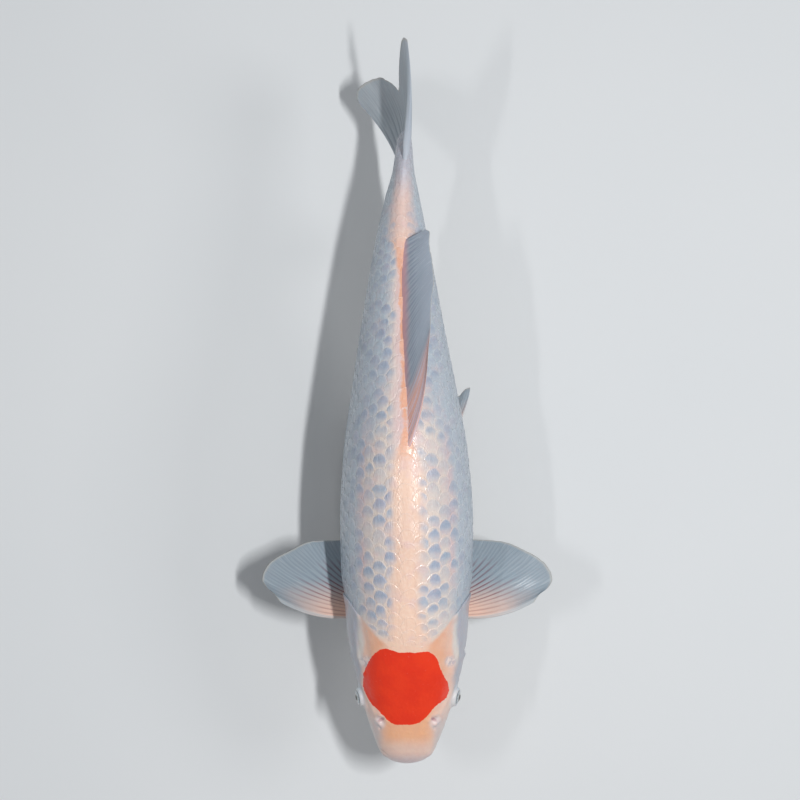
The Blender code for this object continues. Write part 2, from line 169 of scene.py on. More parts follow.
class Nodes:
    """Adds nodes to one tree and links their sockets."""

    def __init__(self, tree: bpy.types.NodeTree) -> None:
        """Keep the tree."""
        self.tree = tree

    def add(self, kind: str, settings: dict[str, Any] | None = None,
            values: dict[Any, Any] | None = None) -> bpy.types.Node:
        """Add a node.

        Args:
            kind: the node's type.
            settings: its own properties, set first; "curve" gives a curve its points.
            values: what its input sockets get, by name or place: a Value, a socket or a constant.

        Returns:
            The new node.
        """
        node = self.tree.nodes.new(kind)
        for name, setting in (settings or {}).items():
            if name == "curve":
                self._fill_curve(node.mapping, setting)
            else:
                setattr(node, name, setting)
        for key, value in (values or {}).items():
            self.feed(node.inputs[key], value)
        return node

    @staticmethod
    def _fill_curve(mapping: bpy.types.CurveMapping, points: list[tuple[float, float]]) -> None:
        """Give a float curve its points.

        Args:
            mapping: the curve's mapping.
            points: its points, from left to right.
        """
        curve = mapping.curves[0]
        while len(curve.points) < len(points):
            curve.points.new(0.5, 0.5)
        for target, point in zip(curve.points, points):
            target.location = point
        mapping.update()

    def feed(self, socket: bpy.types.NodeSocket, value: Any) -> None:
        """Link a value to an input socket, or set the socket's own constant.

        Args:
            socket: the input socket.
            value: a Value, a socket or a constant.
        """
        if isinstance(value, Value):
            value = value.socket
        if isinstance(value, bpy.types.NodeSocket):
            self.tree.links.new(value, socket)
        else:
            socket.default_value = value

    def math(self, operation: str, *values: Any) -> Value:
        """A Math node's result."""
        node = self.add("ShaderNodeMath", {"operation": operation}, dict(enumerate(values)))
        return Value(self, node.outputs[0])

    def step(self, value: Any, low: Any, high: Any) -> Value:
        """A smooth step from 0 at low to 1 at high."""
        node = self.add("ShaderNodeMapRange", {"interpolation_type": "SMOOTHSTEP"},
                        {0: value, 1: low, 2: high})
        return Value(self, node.outputs[0])

    def mix(self, share: Any, first: Any, second: Any) -> Value:
        """A colour between two others, each a value or a code for paint()."""
        first, second = (paint(c) if isinstance(c, str) else c for c in (first, second))
        node = self.add("ShaderNodeMix", {"data_type": "RGBA"}, {0: share, 6: first, 7: second})
        return Value(self, node.outputs[2])

    def scaled(self, vector: Any, factor: Any) -> Value:
        """A vector times a number."""
        node = self.add("ShaderNodeVectorMath", {"operation": "SCALE"}, {0: vector, 3: factor})
        return Value(self, node.outputs[0])

    def parts(self, vector: Any) -> tuple[Value, Value, Value]:
        """A vector's three numbers."""
        node = self.add("ShaderNodeSeparateXYZ", {}, {0: vector})
        return tuple(Value(self, out) for out in node.outputs)

    def joined(self, x: Any, y: Any, z: Any) -> Value:
        """A vector from three numbers."""
        return Value(self, self.add("ShaderNodeCombineXYZ", {}, {0: x, 1: y, 2: z}).outputs[0])


class ShaderNodes(Nodes):
    """Nodes of one material, which starts with a Principled shader."""

    def __init__(self, name: str, **constants: Any) -> None:
        """Make the material.

        Args:
            name: its name.
            constants: what the shader's own sockets get, with _ for a space.
        """
        self.material = bpy.data.materials.new(name)
        self.material.use_nodes = True
        super().__init__(self.material.node_tree)
        self.shader = self.tree.nodes["Principled BSDF"]
        for key, value in constants.items():
            self.shader.inputs[key.replace("_", " ")].default_value = value

    def place(self) -> Value:
        """The object's own coordinates, in metres."""
        return Value(self, self.add("ShaderNodeTexCoord").outputs["Object"])

    def fish(self) -> tuple[Value, Value, Value]:
        """Place on the fish: out from the spine's line, from the snout, up."""
        return self.parts(self.attribute("fish", "Vector"))

    def attribute(self, name: str, output: str = "Fac") -> Value:
        """A named attribute of the mesh, as a number or, with "Vector", as a vector."""
        node = self.add("ShaderNodeAttribute", {"attribute_name": name})
        return Value(self, node.outputs[output])

    def noise(self, scale: float, detail: float = 2, vector: Any = None) -> Value:
        """Smooth noise from 0 to 1 around the object's coordinates, or around a vector."""
        values = {"Vector": vector or self.place(), "Scale": scale, "Detail": detail, "Roughness": 0.5}
        return Value(self, self.add("ShaderNodeTexNoise", {}, values).outputs["Fac"])

    def cells(self, scale: float) -> Value:
        """Distance from the middles of small cells."""
        values = {"Vector": self.place(), "Scale": scale}
        return Value(self, self.add("ShaderNodeTexVoronoi", {}, values).outputs["Distance"])

    def curve(self, value: Any, points: list[tuple[float, float]]) -> Value:
        """A value read through a smooth curve."""
        return Value(self, self.add("ShaderNodeFloatCurve", {"curve": points}, {1: value}).outputs[0])

    def bump(self, height: Any, depth: float) -> Value:
        """A normal raised by a height; depth is the relief in metres."""
        values = {"Height": height, "Distance": depth, "Strength": 1.0}
        return Value(self, self.add("ShaderNodeBump", {}, values).outputs[0])

    def dress(self, **values: Any) -> Material:
        """Feed the shader's sockets, with _ for a space, and return the material."""
        for key, value in values.items():
            self.feed(self.shader.inputs[key.replace("_", " ")], value)
        return self.material


class GeometryNodes(Nodes):
    """A geometry tree with named inputs."""

    def __init__(self, name: str, inputs: dict[str, str]) -> None:
        """Make the tree.

        Args:
            name: its name.
            inputs: each named input's socket type.
        """
        tree = bpy.data.node_groups.new(name, "GeometryNodeTree")
        super().__init__(tree)
        tree.interface.new_socket("Geometry", in_out="INPUT", socket_type="NodeSocketGeometry")
        tree.interface.new_socket("Geometry", in_out="OUTPUT", socket_type="NodeSocketGeometry")
        self.names = {}
        for label, kind in inputs.items():
            item = tree.interface.new_socket(label, in_out="INPUT", socket_type=kind)
            self.names[label] = item.identifier
        self.entry = self.add("NodeGroupInput")
        self.exit = self.add("NodeGroupOutput")

    def given(self, label: str) -> Value:
        """A named input of the tree."""
        return Value(self, self.entry.outputs[label])

    def attribute(self, name: str, kind: str = "FLOAT") -> Value:
        """A named attribute of the geometry."""
        node = self.add("GeometryNodeInputNamedAttribute", {"data_type": kind}, {"Name": name})
        return Value(self, node.outputs["Attribute"])

    def store(self, geometry: Any, name: str, value: Any, kind: str, domain: str) -> Value:
        """The geometry with a named attribute added."""
        node = self.add("GeometryNodeStoreNamedAttribute", {"data_type": kind, "domain": domain},
                        {"Geometry": geometry, "Name": name, "Value": value})
        return Value(self, node.outputs[0])

    def output(self, geometry: Any, material: Any) -> None:
        """End the tree: realize what is instanced and set the material.

        Args:
            geometry: what the tree has made.
            material: the material's socket.
        """
        real = self.add("GeometryNodeRealizeInstances", {}, {"Geometry": geometry})
        dressed = self.add("GeometryNodeSetMaterial", {},
                           {"Geometry": real.outputs[0], "Material": material})
        self.feed(self.exit.inputs[0], dressed.outputs[0])

    def grow(self, source: Piece, name: str, values: dict[str, Any]) -> Piece:
        """Run the tree on an object and turn the result into a plain mesh.

        Args:
            source: the object that the tree starts from; it is removed.
            name: the new piece's name.
            values: what each named input of the tree gets.

        Returns:
            The new piece.
        """
        modifier = source.modifiers.new(self.tree.name, "NODES")
        modifier.node_group = self.tree
        for label, value in values.items():
            modifier[self.names[label]] = value
        bpy.context.view_layer.update()
        graph = bpy.context.evaluated_depsgraph_get()
        mesh = bpy.data.meshes.new_from_object(source.evaluated_get(graph))
        bpy.data.objects.remove(source)
        mesh.name = name
        piece = bpy.data.objects.new(name, mesh)
        bpy.context.scene.collection.objects.link(piece)
        return piece


# ---------------------------------------------------------------- shapes


def smooth_through(knots: Any, values: Any, at: Any) -> Array:
    """Read a smooth curve through knots that never overshoots them.

    Args:
        knots: where the values are known, rising.
        values: what they are there.
        at: where the curve is read.

    Returns:
        The curve's values.
    """
    knots, values, at = (np.asarray(a, float) for a in (knots, values, at))
    step = np.diff(knots)
    slope = np.diff(values) / step
    weights = (2 * step[1:] + step[:-1], step[1:] + 2 * step[:-1])
    alike = slope[:-1] * slope[1:] > 0
    before, after = (np.where(alike, part, 1) for part in (slope[:-1], slope[1:]))
    harmonic = (weights[0] + weights[1]) / (weights[0] / before + weights[1] / after)
    inner = np.where(alike, harmonic, 0)
    tangent = np.concatenate([slope[:1], inner, slope[-1:]])
    i = np.clip(np.searchsorted(knots, at, side="right") - 1, 0, len(step) - 1)
    u = (at - knots[i]) / step[i]
    return (
        values[i] * (1 + 2 * u) * (1 - u) ** 2
        + step[i] * tangent[i] * u * (1 - u) ** 2
        + values[i + 1] * u * u * (3 - 2 * u)
        + step[i] * tangent[i + 1] * u * u * (u - 1)
    )


def smooth_step(value: Any, low: float, high: float) -> Array:
    """0 at low, 1 at high, and a smooth step between them."""
    share = np.clip((np.asarray(value, float) - low) / (high - low), 0, 1)
    return share * share * (3 - 2 * share)


def unit(vectors: Array) -> Array:
    """Vectors brought to length one."""
    return vectors / np.maximum(np.linalg.norm(vectors, axis=-1, keepdims=True), 1e-12)


def grid_faces(rows: int, columns: int, closed: bool, start: int = 0) -> Array:
    """Corner numbers of the quads of a grid of points, counted row by row.

    Args:
        rows: rows of points.
        columns: points in a row.
        closed: whether each row is a ring.
        start: the first point's number.

    Returns:
        One row of four numbers for each quad.
    """
    row, column = np.meshgrid(
        np.arange(rows - 1), np.arange(columns if closed else columns - 1), indexing="ij")
    after = (column + 1) % columns
    corners = (row * columns + column, row * columns + after,
               (row + 1) * columns + after, (row + 1) * columns + column)
    return np.stack([c.ravel() for c in corners], axis=-1) + start


def mesh_piece(name: str, points: Array, faces: list[Any],
               attributes: dict[str, Array] | None = None,
               material: Material | None = None) -> Piece:
    """A smooth mesh object at the origin, with attributes on its points.

    Args:
        name: the piece's name.
        points: its points, in metres.
        faces: arrays or lists of corner numbers.
        attributes: a number or a vector for each point, by name.
        material: its material.

    Returns:
        The object, linked to the scene.
    """
    mesh = bpy.data.meshes.new(name)
    corners = [tuple(int(i) for i in corner) for group in faces for corner in group]
    mesh.from_pydata(points.tolist(), [], corners)
    for label, data in (attributes or {}).items():
        data = np.asarray(data, np.float32)
        if data.ndim == 1:
            mesh.attributes.new(label, "FLOAT", "POINT").data.foreach_set("value", data)
        else:
            mesh.attributes.new(label, "FLOAT_VECTOR", "POINT").data.foreach_set(
                "vector", data.ravel())
    mesh.shade_smooth()
    mesh.update()
    if material:
        mesh.materials.append(material)
    piece = bpy.data.objects.new(name, mesh)
    bpy.context.scene.collection.objects.link(piece)
    return piece


def fan_faces(around: int, start: int, tip: int) -> Array:
    """Triangles that join a ring of points, numbered from start, to one point."""
    ring = np.arange(around)
    return np.stack([start + ring, start + (ring + 1) % around, np.full_like(ring, tip)], axis=-1)


def circle(across: Array, over: Array, around: int) -> Array:
    """Vectors round a circle in the plane of two others, for each pair of them."""
    spin = np.linspace(0, 2 * math.pi, around, endpoint=False)[:, None]
    return np.cos(spin) * across[..., None, :] + np.sin(spin) * over[..., None, :]


def capped_rings(name: str, rings: Array, poles: Array, attributes: dict[str, Array],
                 material: Material) -> Piece:
    """A closed mesh of rings of points with one point at each end.

    Args:
        name: the piece's name.
        rings: points in metres, ring by ring.
        poles: the point before the first ring and the one behind the last.
        attributes: a number or a vector for each point, the poles last.
        material: its material.

    Returns:
        The piece.
    """
    rows, around = rings.shape[:2]
    count = rows * around
    faces = [grid_faces(rows, around, True), fan_faces(around, 0, count),
             fan_faces(around, count - around, count + 1)]
    points = np.concatenate([rings.reshape(-1, 3), poles])
    piece = mesh_piece(name, points, faces, attributes, material)
    turn_outwards(piece)
    return piece


def nearest_on(line: Array, points: Array) -> tuple[Array, Array]:
    """Find the nearest place on a line.

    Args:
        line: the line's points.
        points: what is near it.

    Returns:
        For each point, the number of the line's nearest point and the distance to it.
    """
    found = []
    for some in np.array_split(points, max(1, len(points) // 4000)):
        apart = np.linalg.norm(some[:, None] - line[None], axis=-1)
        nearest = apart.argmin(1)
        found.append((nearest, apart[np.arange(len(some)), nearest]))
    numbers, distances = zip(*found)
    return np.concatenate(numbers), np.concatenate(distances)


def from_axis(points: Array, centre: Array, axis: Array) -> tuple[Array, Array]:
    """Height of points along an axis through the centre, and their distance from it."""
    apart = points - centre
    height = apart @ axis
    return height, np.linalg.norm(apart - height[:, None] * axis, axis=1)


def turn_outwards(piece: Piece) -> None:
    """Point a closed mesh's faces outwards.

    Args:
        piece: the mesh object.
    """
    bm = bmesh.new()
    bm.from_mesh(piece.data)
    bmesh.ops.recalc_face_normals(bm, faces=bm.faces)
    bm.to_mesh(piece.data)
    bm.free()


def hand_over(piece: Piece, slot: Finish, *stands_for: str) -> None:
    """Let a finished piece ride on the body, hide the nodes that it takes the place of and log its
    triangles.

    Args:
        piece: the piece.
        slot: its finish; not used.
        stands_for: the nodes that it takes the place of.
    """
    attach(piece, BODY)
    if stands_for:
        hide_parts(*stands_for)
    piece.data.calc_loop_triangles()
    LOG.info("%s: %d triangles", piece.name, len(piece.data.loop_triangles))


@dataclass(frozen=True)
class BodyForm:
    """The fish's body as a surface of rings. Points are in millimetres, ordered sideways, from
    the snout, up, as the frame's axes are. A turn round the section is an angle that is 0 on the
    left flank and a quarter turn on the back."""

    snout_y: float = -0.205
    axis_z: float = 0.150
    # From the snout, half width, level of the widest point, back, belly, swing of the spine,
    # squareness of the upper and of the lower half.
    lines: tuple[tuple[float, ...], ...] = (
        (0, 0, -7, -7, -7, 1.7, 2.3, 2.2),
        (4, 15.3, -6.5, 5, -16.5, 1.7, 2.3, 2.2),
        (12, 22.2, -5.5, 14, -23, 1.7, 2.35, 2.2),
        (28, 29.4, -4, 25, -31, 1.9, 2.5, 2.2),
        (45, 34.9, -2, 33.5, -37, 2.2, 2.6, 2.2),
        (62, 39.6, -1, 42, -42, 2.4, 2.6, 2.2),
        (80, 44.4, 0, 51, -47, 2.5, 2.45, 2.2),
        (110, 49.0, 1, 63.5, -54, 1.9, 2.2, 2.2),
        (140, 51.4, 2, 72, -59.5, 1.7, 2.1, 2.2),
        (156, 54.0, 2, 75.5, -61.5, 1.6, 2.05, 2.2),
        (200, 55.0, 2, 80.5, -66, 1.3, 2.0, 2.2),
        (255, 51.6, 2, 80, -66.5, 0.7, 2.0, 2.2),
        (310, 43.2, 3, 69, -58, -0.7, 2.0, 2.2),
        (370, 32.8, 3, 51.5, -40.5, -2.1, 2.0, 2.1),
        (425, 23.1, 2, 37, -29, -2.6, 2.0, 2.0),
        (465, 14.8, 1, 30.5, -26, -2.2, 2.0, 2.0),
        (490, 8.9, 1, 29, -26.5, -1.2, 2.0, 2.0),
        (512, 6.4, 1, 27, -25, -0.6, 2.0, 2.0),
        (534, 2.0, 1, 24, -22, -0.3, 2.0, 2.0),
    )
    underbite: float = 5.0
    underbite_fade: float = 18.0
    nape: float = 98.0
    gill_edge: float = 141.0
    throat: float = 97.0
    tail_base: float = 504.0
    tail_base_middle: float = 532.0

    def place(self, points: Array) -> Array:
        """Points in the frame's metres."""
        return points * MM + np.array([0, self.snout_y, self.axis_z])

    def lines_at(self, along: Array) -> tuple[Array, ...]:
        """Read the body's lines. Sizes that start from nothing at the snout are read as squares,
        which rounds it.

        Args:
            along: distance from the snout.

        Returns:
            Half width, level of the widest point, rise to the back, drop to the belly, swing of the
            spine, and squareness of the upper and of the lower half.
        """
        table = np.array(self.lines, float)
        knots, level = table[:, 0], smooth_through(table[:, 0], table[:, 2], along)
        squares = (table[:, 1] ** 2, (table[:, 3] - table[:, 2]) ** 2, (table[:, 2] - table[:, 4]) ** 2)
        half, rise, drop = (
            np.sqrt(np.maximum(smooth_through(knots, s, along), 0)) for s in squares)
        swing, up, down = (smooth_through(knots, table[:, k], along) for k in (5, 6, 7))
        return half, level, rise, drop, swing, up, down

    def surface(self, along: Any, turn: Any) -> Array:
        """Points on the body.

        Args:
            along: distance from the snout.
            turn: turn round the section.

        Returns:
            The points.
        """
        along, turn = np.broadcast_arrays(np.asarray(along, float), np.asarray(turn, float))
        half, level, rise, drop, swing, square_up, square_down = self.lines_at(along)
        cos, sin = np.cos(turn), np.sin(turn)
        power = 2 / np.where(sin >= 0, square_up, square_down)
        sideways = swing + half * np.sign(cos) * np.abs(cos) ** power
        up = level + np.where(sin >= 0, rise, drop) * np.sign(sin) * np.abs(sin) ** power
        behind = self.underbite * np.maximum(-sin, 0) ** 1.5 * np.exp(-along / self.underbite_fade)
        return np.stack([sideways, along + behind, up], axis=-1)

    def outwards(self, along: Any, turn: Any) -> Array:
        """Unit vectors out of the body's surface.

        Args:
            along: distance from the snout.
            turn: turn round the section.

        Returns:
            The vectors.
        """
        along = np.maximum(along, 0.12)
        far, near = self.surface(along + 0.1, turn), self.surface(along - 0.1, turn)
        up, down = self.surface(along, turn + 0.012), self.surface(along, turn - 0.012)
        return unit(np.cross(far - near, up - down))

    def turn_at(self, along: Any, out: Any, up: Any) -> Array:
        """The turn of the surface point nearest in direction to another point.

        Args:
            along: distance from the snout.
            out: its distance from the spine's line.
            up: its height.

        Returns:
            The turn.
        """
        half, level, rise, drop, _, square_up, square_down = self.lines_at(np.asarray(along, float))
        height = np.asarray(up, float) - level
        power = np.where(height >= 0, square_up, square_down) / 2
        deep = np.where(height >= 0, rise, drop)
        return np.arctan2(np.sign(height) * np.abs(height / deep) ** power, np.abs(out / half) ** power)

    @staticmethod
    def girth(turn: Any) -> Array:
        """How far round from the back a turn is: 0 on the back, 1 on the side line, 2 below."""
        return 1 - np.arcsin(np.clip(np.sin(turn), -1, 1)) / (math.pi / 2)

    def head_seam(self, turn: Array) -> Array:
        """How far from the snout the head ends, round the section: far back on the cheeks."""
        sin = np.sin(turn)
        end = np.where(sin >= 0, self.nape, self.throat)
        return end + (self.gill_edge - end) * (1 - np.abs(sin) ** 2.6) ** 1.1

    def tail_seam(self, turn: Array) -> Array:
        """How far from the snout the flesh ends, round the section, in two scallops."""
        scallop = 1 - np.abs(np.sin(turn)) ** 1.5
        return self.tail_base + (self.tail_base_middle - self.tail_base) * scallop

    def swing(self, along: Any) -> Array:
        """How far the spine's line lies to the left."""
        return self.lines_at(np.asarray(along, float))[4]

    def on_fish(self, points: Array, along: Any) -> Array:
        """Points whose sideways distance is taken from the spine's line."""
        straight = points.copy()
        straight[..., 0] -= self.swing(along)
        return straight


@dataclass
class TailBlend:
    """Thins the flesh at its end until it lies on the tail fin's middle surface."""

    form: BodyForm
    middle: Array  # points of the fin's middle surface
    start: float = -17.0
    end: float = -1.0
    half: float = 0.6  # half thickness of the flesh where it ends, above and below
    half_middle: float = 0.05  # and on the side line, where the fin is thinner
    dip: float = 0.10  # share of its height that it loses there
    blur: float = 1.6  # how far the fin's points are averaged

    def shape(self, points: Array, along: Array, turn: Array) -> Array:
        """Move points of the flesh sideways towards the fin in front of the tail seam.

        Args:
            points: points in millimetres.
            along: distance from the snout.
            turn: turn round the section.

        Returns:
            The moved points.
        """
        before = along - self.form.tail_seam(turn)
        near = np.flatnonzero(before > self.start)
        shaped = points.copy()
        for some in np.array_split(near, max(1, len(near) // 1000)):
            apart = ((points[some, None, 1:] - self.middle[None, :, 1:]) ** 2).sum(-1)
            weight = np.exp((apart.min(1, keepdims=True) - apart) / self.blur ** 2)
            beside = weight @ self.middle[:, 0] / weight.sum(1)
            cos = np.cos(turn[some])
            half = self.half + (self.half_middle - self.half) * np.abs(cos) ** 1.5
            target = beside + np.sign(cos) * np.abs(cos) ** 0.6 * half
            share = smooth_step(before[some], self.start, self.end)
            shaped[some, 0] += share * (target - points[some, 0])
            shaped[some, 2] *= 1 - self.dip * share
        return shaped


@dataclass(frozen=True)
class Fold:
    """A ridge or a groove that follows a line over the head, on both sides.

    Its path is in millimetres as (from the snout, out from the spine's line, up); height is
    above the skin, or below it where it is negative.
    """

    path: Triples
    height: float
    width: float

    def lift(self, form: BodyForm, folded: Array) -> Array:
        """How far the skin stands out.

        Args:
            form: the body.
            folded: points of the head, sideways unsigned.

        Returns:
            The height over the skin for each point.
        """
        knots = np.array(self.path, float)
        share = np.linspace(0, 1, 40)
        at = np.linspace(0, 1, len(knots))
        along, out, up = (smooth_through(at, knots[:, k], share) for k in range(3))
        line = form.on_fish(form.surface(along, form.turn_at(along, out, up)), along)
        lifted = np.zeros(len(folded))
        low, high = line.min(0) - 3 * self.width, line.max(0) + 3 * self.width
        near = ((folded > low) & (folded < high)).all(1)
        nearest, apart = nearest_on(line, folded[near])
        place = share[nearest]
        fade = smooth_step(place, 0, FOLD_FADE) * smooth_step(1 - place, 0, FOLD_FADE)
        lifted[near] = self.height * fade * np.exp(-(apart / self.width) ** 2)
        return lifted


@dataclass(frozen=True)
class Dimple:
    """A round hollow or swelling on both sides of the head, placed as a Fold's path is."""

    at: tuple[float, float, float]
    height: float
    radius: float

    def lift(self, form: BodyForm, folded: Array) -> Array:
        """How far the skin stands out.

        Args:
            form: the body.
            folded: points of the head, sideways unsigned.

        Returns:
            The height over the skin for each point.
        """
        along, out, up = self.at
        centre = form.on_fish(form.surface(along, form.turn_at(along, out, up)), along)
        apart = np.linalg.norm(folded - centre, axis=-1)
        return self.height * np.exp(-(apart / self.radius) ** 2.6)


@dataclass(frozen=True)
class MouthForm:
    """The upper lip's line round the snout and the folds that run beside it."""

    reach: float = 21.8
    front: float = 2.6
    half: float = 22.3
    level: float = -10.8
    slope: float = -0.33
    corner: float = math.radians(82)
    behind: float = 14.0  # how far behind the corner the folds are still felt
    # How far below the lip's line each fold runs, its height and its width.
    folds: Triples = (
        (-4.2, -0.75, 1.3), (0.0, 1.25, 2.4), (2.9, -3.0, 0.85), (5.6, 1.1, 2.3), (9.6, -0.55, 1.6))

    def path(self, below: float) -> Array:
        """Place a fold from the snout's middle to the mouth's corner.

        Args:
            below: how far below the lip's line it runs.

        Returns:
            Its points, sideways unsigned.
        """
        angle = np.linspace(0, self.corner, 44)
        along = self.reach * (1 - np.cos(angle)) + self.front
        closing = 1 - 0.75 * smooth_step(angle / self.corner, 0.55, 1)
        up = self.level + self.slope * along - below * closing
        return np.stack([self.half * np.sin(angle), along, up], axis=-1)

    def lift(self, form: BodyForm, folded: Array) -> Array:
        """How far the skin stands out round the mouth.

        Args:
            form: the body.
            folded: points of the head, sideways unsigned.

        Returns:
            The height over the skin for each point.
        """
        lifted = np.zeros(len(folded))
        near = folded[:, 1] < self.reach + self.behind
        for below, height, width in self.folds:
            line = self.path(below)
            turn = form.turn_at(np.maximum(line[:, 1], 0.5), line[:, 0], line[:, 2])
            line = form.surface(np.maximum(line[:, 1] - form.underbite * 0.4, 0.4), turn)
            line[:, 0] -= form.swing(line[:, 1])
            nearest, apart = nearest_on(line, folded[near])
            fade = smooth_step(len(line) - 1 - nearest, 0, 5)
            lifted[near] += height * fade * np.exp(-(apart / width) ** 2)
        return lifted


@dataclass(frozen=True)
class EyeForm:
    """An eyeball's place, size and axis, and the ring of skin round it."""

    at: tuple[float, float, float] = (57.0, 38.0, 12.5)
    radius: float = 7.9
    flatten: float = 0.62
    axis: tuple[float, float, float] = (0.95, -0.20, 0.24)
    opening: float = 6.1
    collar: float = 13.0
    slack: float = 0.3  # how much wider the skin's dome is than the ball
    lens: float = 0.35  # how far the lens stands out of the ball
    lid: tuple[float, float, float] = (1.1, -3.0, 0.55)  # slope, deepest and highest place
    depth: float = 13.0  # how far behind the ball's middle the skin still follows it

    def frame(self, form: BodyForm, side: Side) -> tuple[Array, Array]:
        """An eyeball's centre in millimetres, and the unit vector that it looks along."""
        along, out, up = self.at
        centre = np.array([form.swing(along) + side.value * out, along, up])
        return centre, unit(np.array([side.value * self.axis[0], self.axis[1], self.axis[2]]))

    def dome(self, away: Array) -> Array:
        """The ball's height over its middle plane, at a distance from its axis."""
        share = away / (self.radius + self.slack)
        return self.radius * self.flatten * np.sqrt(np.maximum(1 - share ** 2, 0))

    def raise_lids(self, form: BodyForm, points: Array) -> Array:
        """Move skin so that a round lid rises to the ball and opens over it.

        Args:
            form: the body.
            points: points in millimetres.

        Returns:
            The moved points.
        """
        slope, lowest, highest = self.lid
        for side in Side:
            centre, axis = self.frame(form, side)
            height, away = from_axis(points, centre, axis)
            target = self.dome(away) + np.clip((away - self.opening) * slope, lowest, highest)
            weight = 1 - smooth_step(away, self.opening + 0.9, self.collar)
            weight = np.where(height > -self.depth, weight, 0)
            points = points + (weight * (target - height))[:, None] * axis
        return points


@dataclass(frozen=True)
class HeadRelief:
    """Everything that stands out of the head or sinks into it."""

    mouth: MouthForm = MouthForm()
    eye: EyeForm = EyeForm()
    folds: tuple[Fold, ...] = (
        # Brow from the nostril over the eye, and the shelf behind it that ends in the gill's corner.
        Fold(((40, 25, 24), (50, 30.5, 26), (62, 35, 25), (76, 37, 26)), 0.8, 3.2),
        Fold(((84, 37.5, 30), (100, 38.5, 33), (114, 39.5, 34), (126, 40, 36)), 1.25, 2.6),
        Fold(((82, 31, 38), (98, 32, 43), (114, 34, 45), (124, 37, 41)), -0.8, 4.0),
        # Furrow between the snout and the lip, down to the mouth's corner, and the lip before it.
        Fold(((7, 12.5, 4), (11.5, 18, 1), (16, 22.3, -4), (20, 24.2, -10), (22.5, 23, -16)), -1.25, 1.05),
        Fold(((5, 13.5, -3), (11, 19.5, -6), (16, 22.5, -10), (19.5, 22.5, -15)), 0.9, 2.3),
        # Cheek: rim under the eye, edge of the cheek plate and the plates of the gill cover.
        Fold(((44, 34, 4), (52, 38, -3), (64, 40, -3), (74, 42, 6)), 0.5, 2.0),
        Fold(((70, 41, 12), (73, 42, -4), (66, 38, -20), (52, 31, -30)), -0.45, 1.5),
        Fold(((86, 42, 24), (91, 46, 6), (88, 45, -14), (74, 37, -30), (56, 28, -35)), 0.95, 2.2),
        Fold(((90, 42, 24), (95, 47, 6), (92, 46, -16), (78, 37, -33), (58, 26, -38)), -1.0, 1.5),
        Fold(((96, 46, -22), (110, 46, -28), (124, 45, -30), (134, 46, -26)), -0.5, 1.6),
        Fold(((80, 33, -38), (96, 35, -44), (112, 38, -43), (124, 41, -38)), -0.45, 1.5),
    )
    dimples: tuple[Dimple, ...] = (
        Dimple((39.6, 21.2, 26), -1.1, 2.3),
        Dimple((35.6, 22.4, 23), 1.7, 2.3),
        Dimple((31.6, 22.8, 20), -0.8, 1.4),
        Dimple((38.2, 25.6, 22), 1.2, 2.4),
        Dimple((43.4, 22.2, 27), 0.8, 2.4),
        Dimple((38.6, 17.6, 28), 0.6, 2.2),
        Dimple((86, 34.5, 36), -0.8, 3.6),
        Dimple((78, 36, 33), 0.7, 3.0),
        Dimple((112, 50, -6), 0.8, 22.0),
        Dimple((30, 24, -20), 0.7, 7.0),
    )

    def shape(self, form: BodyForm, points: Array, outwards: Array) -> Array:
        """Give the head its folds, its mouth and its lids.

        Args:
            form: the body.
            points: points in millimetres.
            outwards: unit vectors out of the skin.

        Returns:
            The moved points.
        """
        folded = form.on_fish(points, points[:, 1])
        folded[:, 0] = np.abs(folded[:, 0])
        lifted = self.mouth.lift(form, folded)
        for feature in self.folds + self.dimples:
            lifted += feature.lift(form, folded)
        return self.eye.raise_lids(form, points + outwards * lifted[:, None])


# ---------------------------------------------------------------- finishes


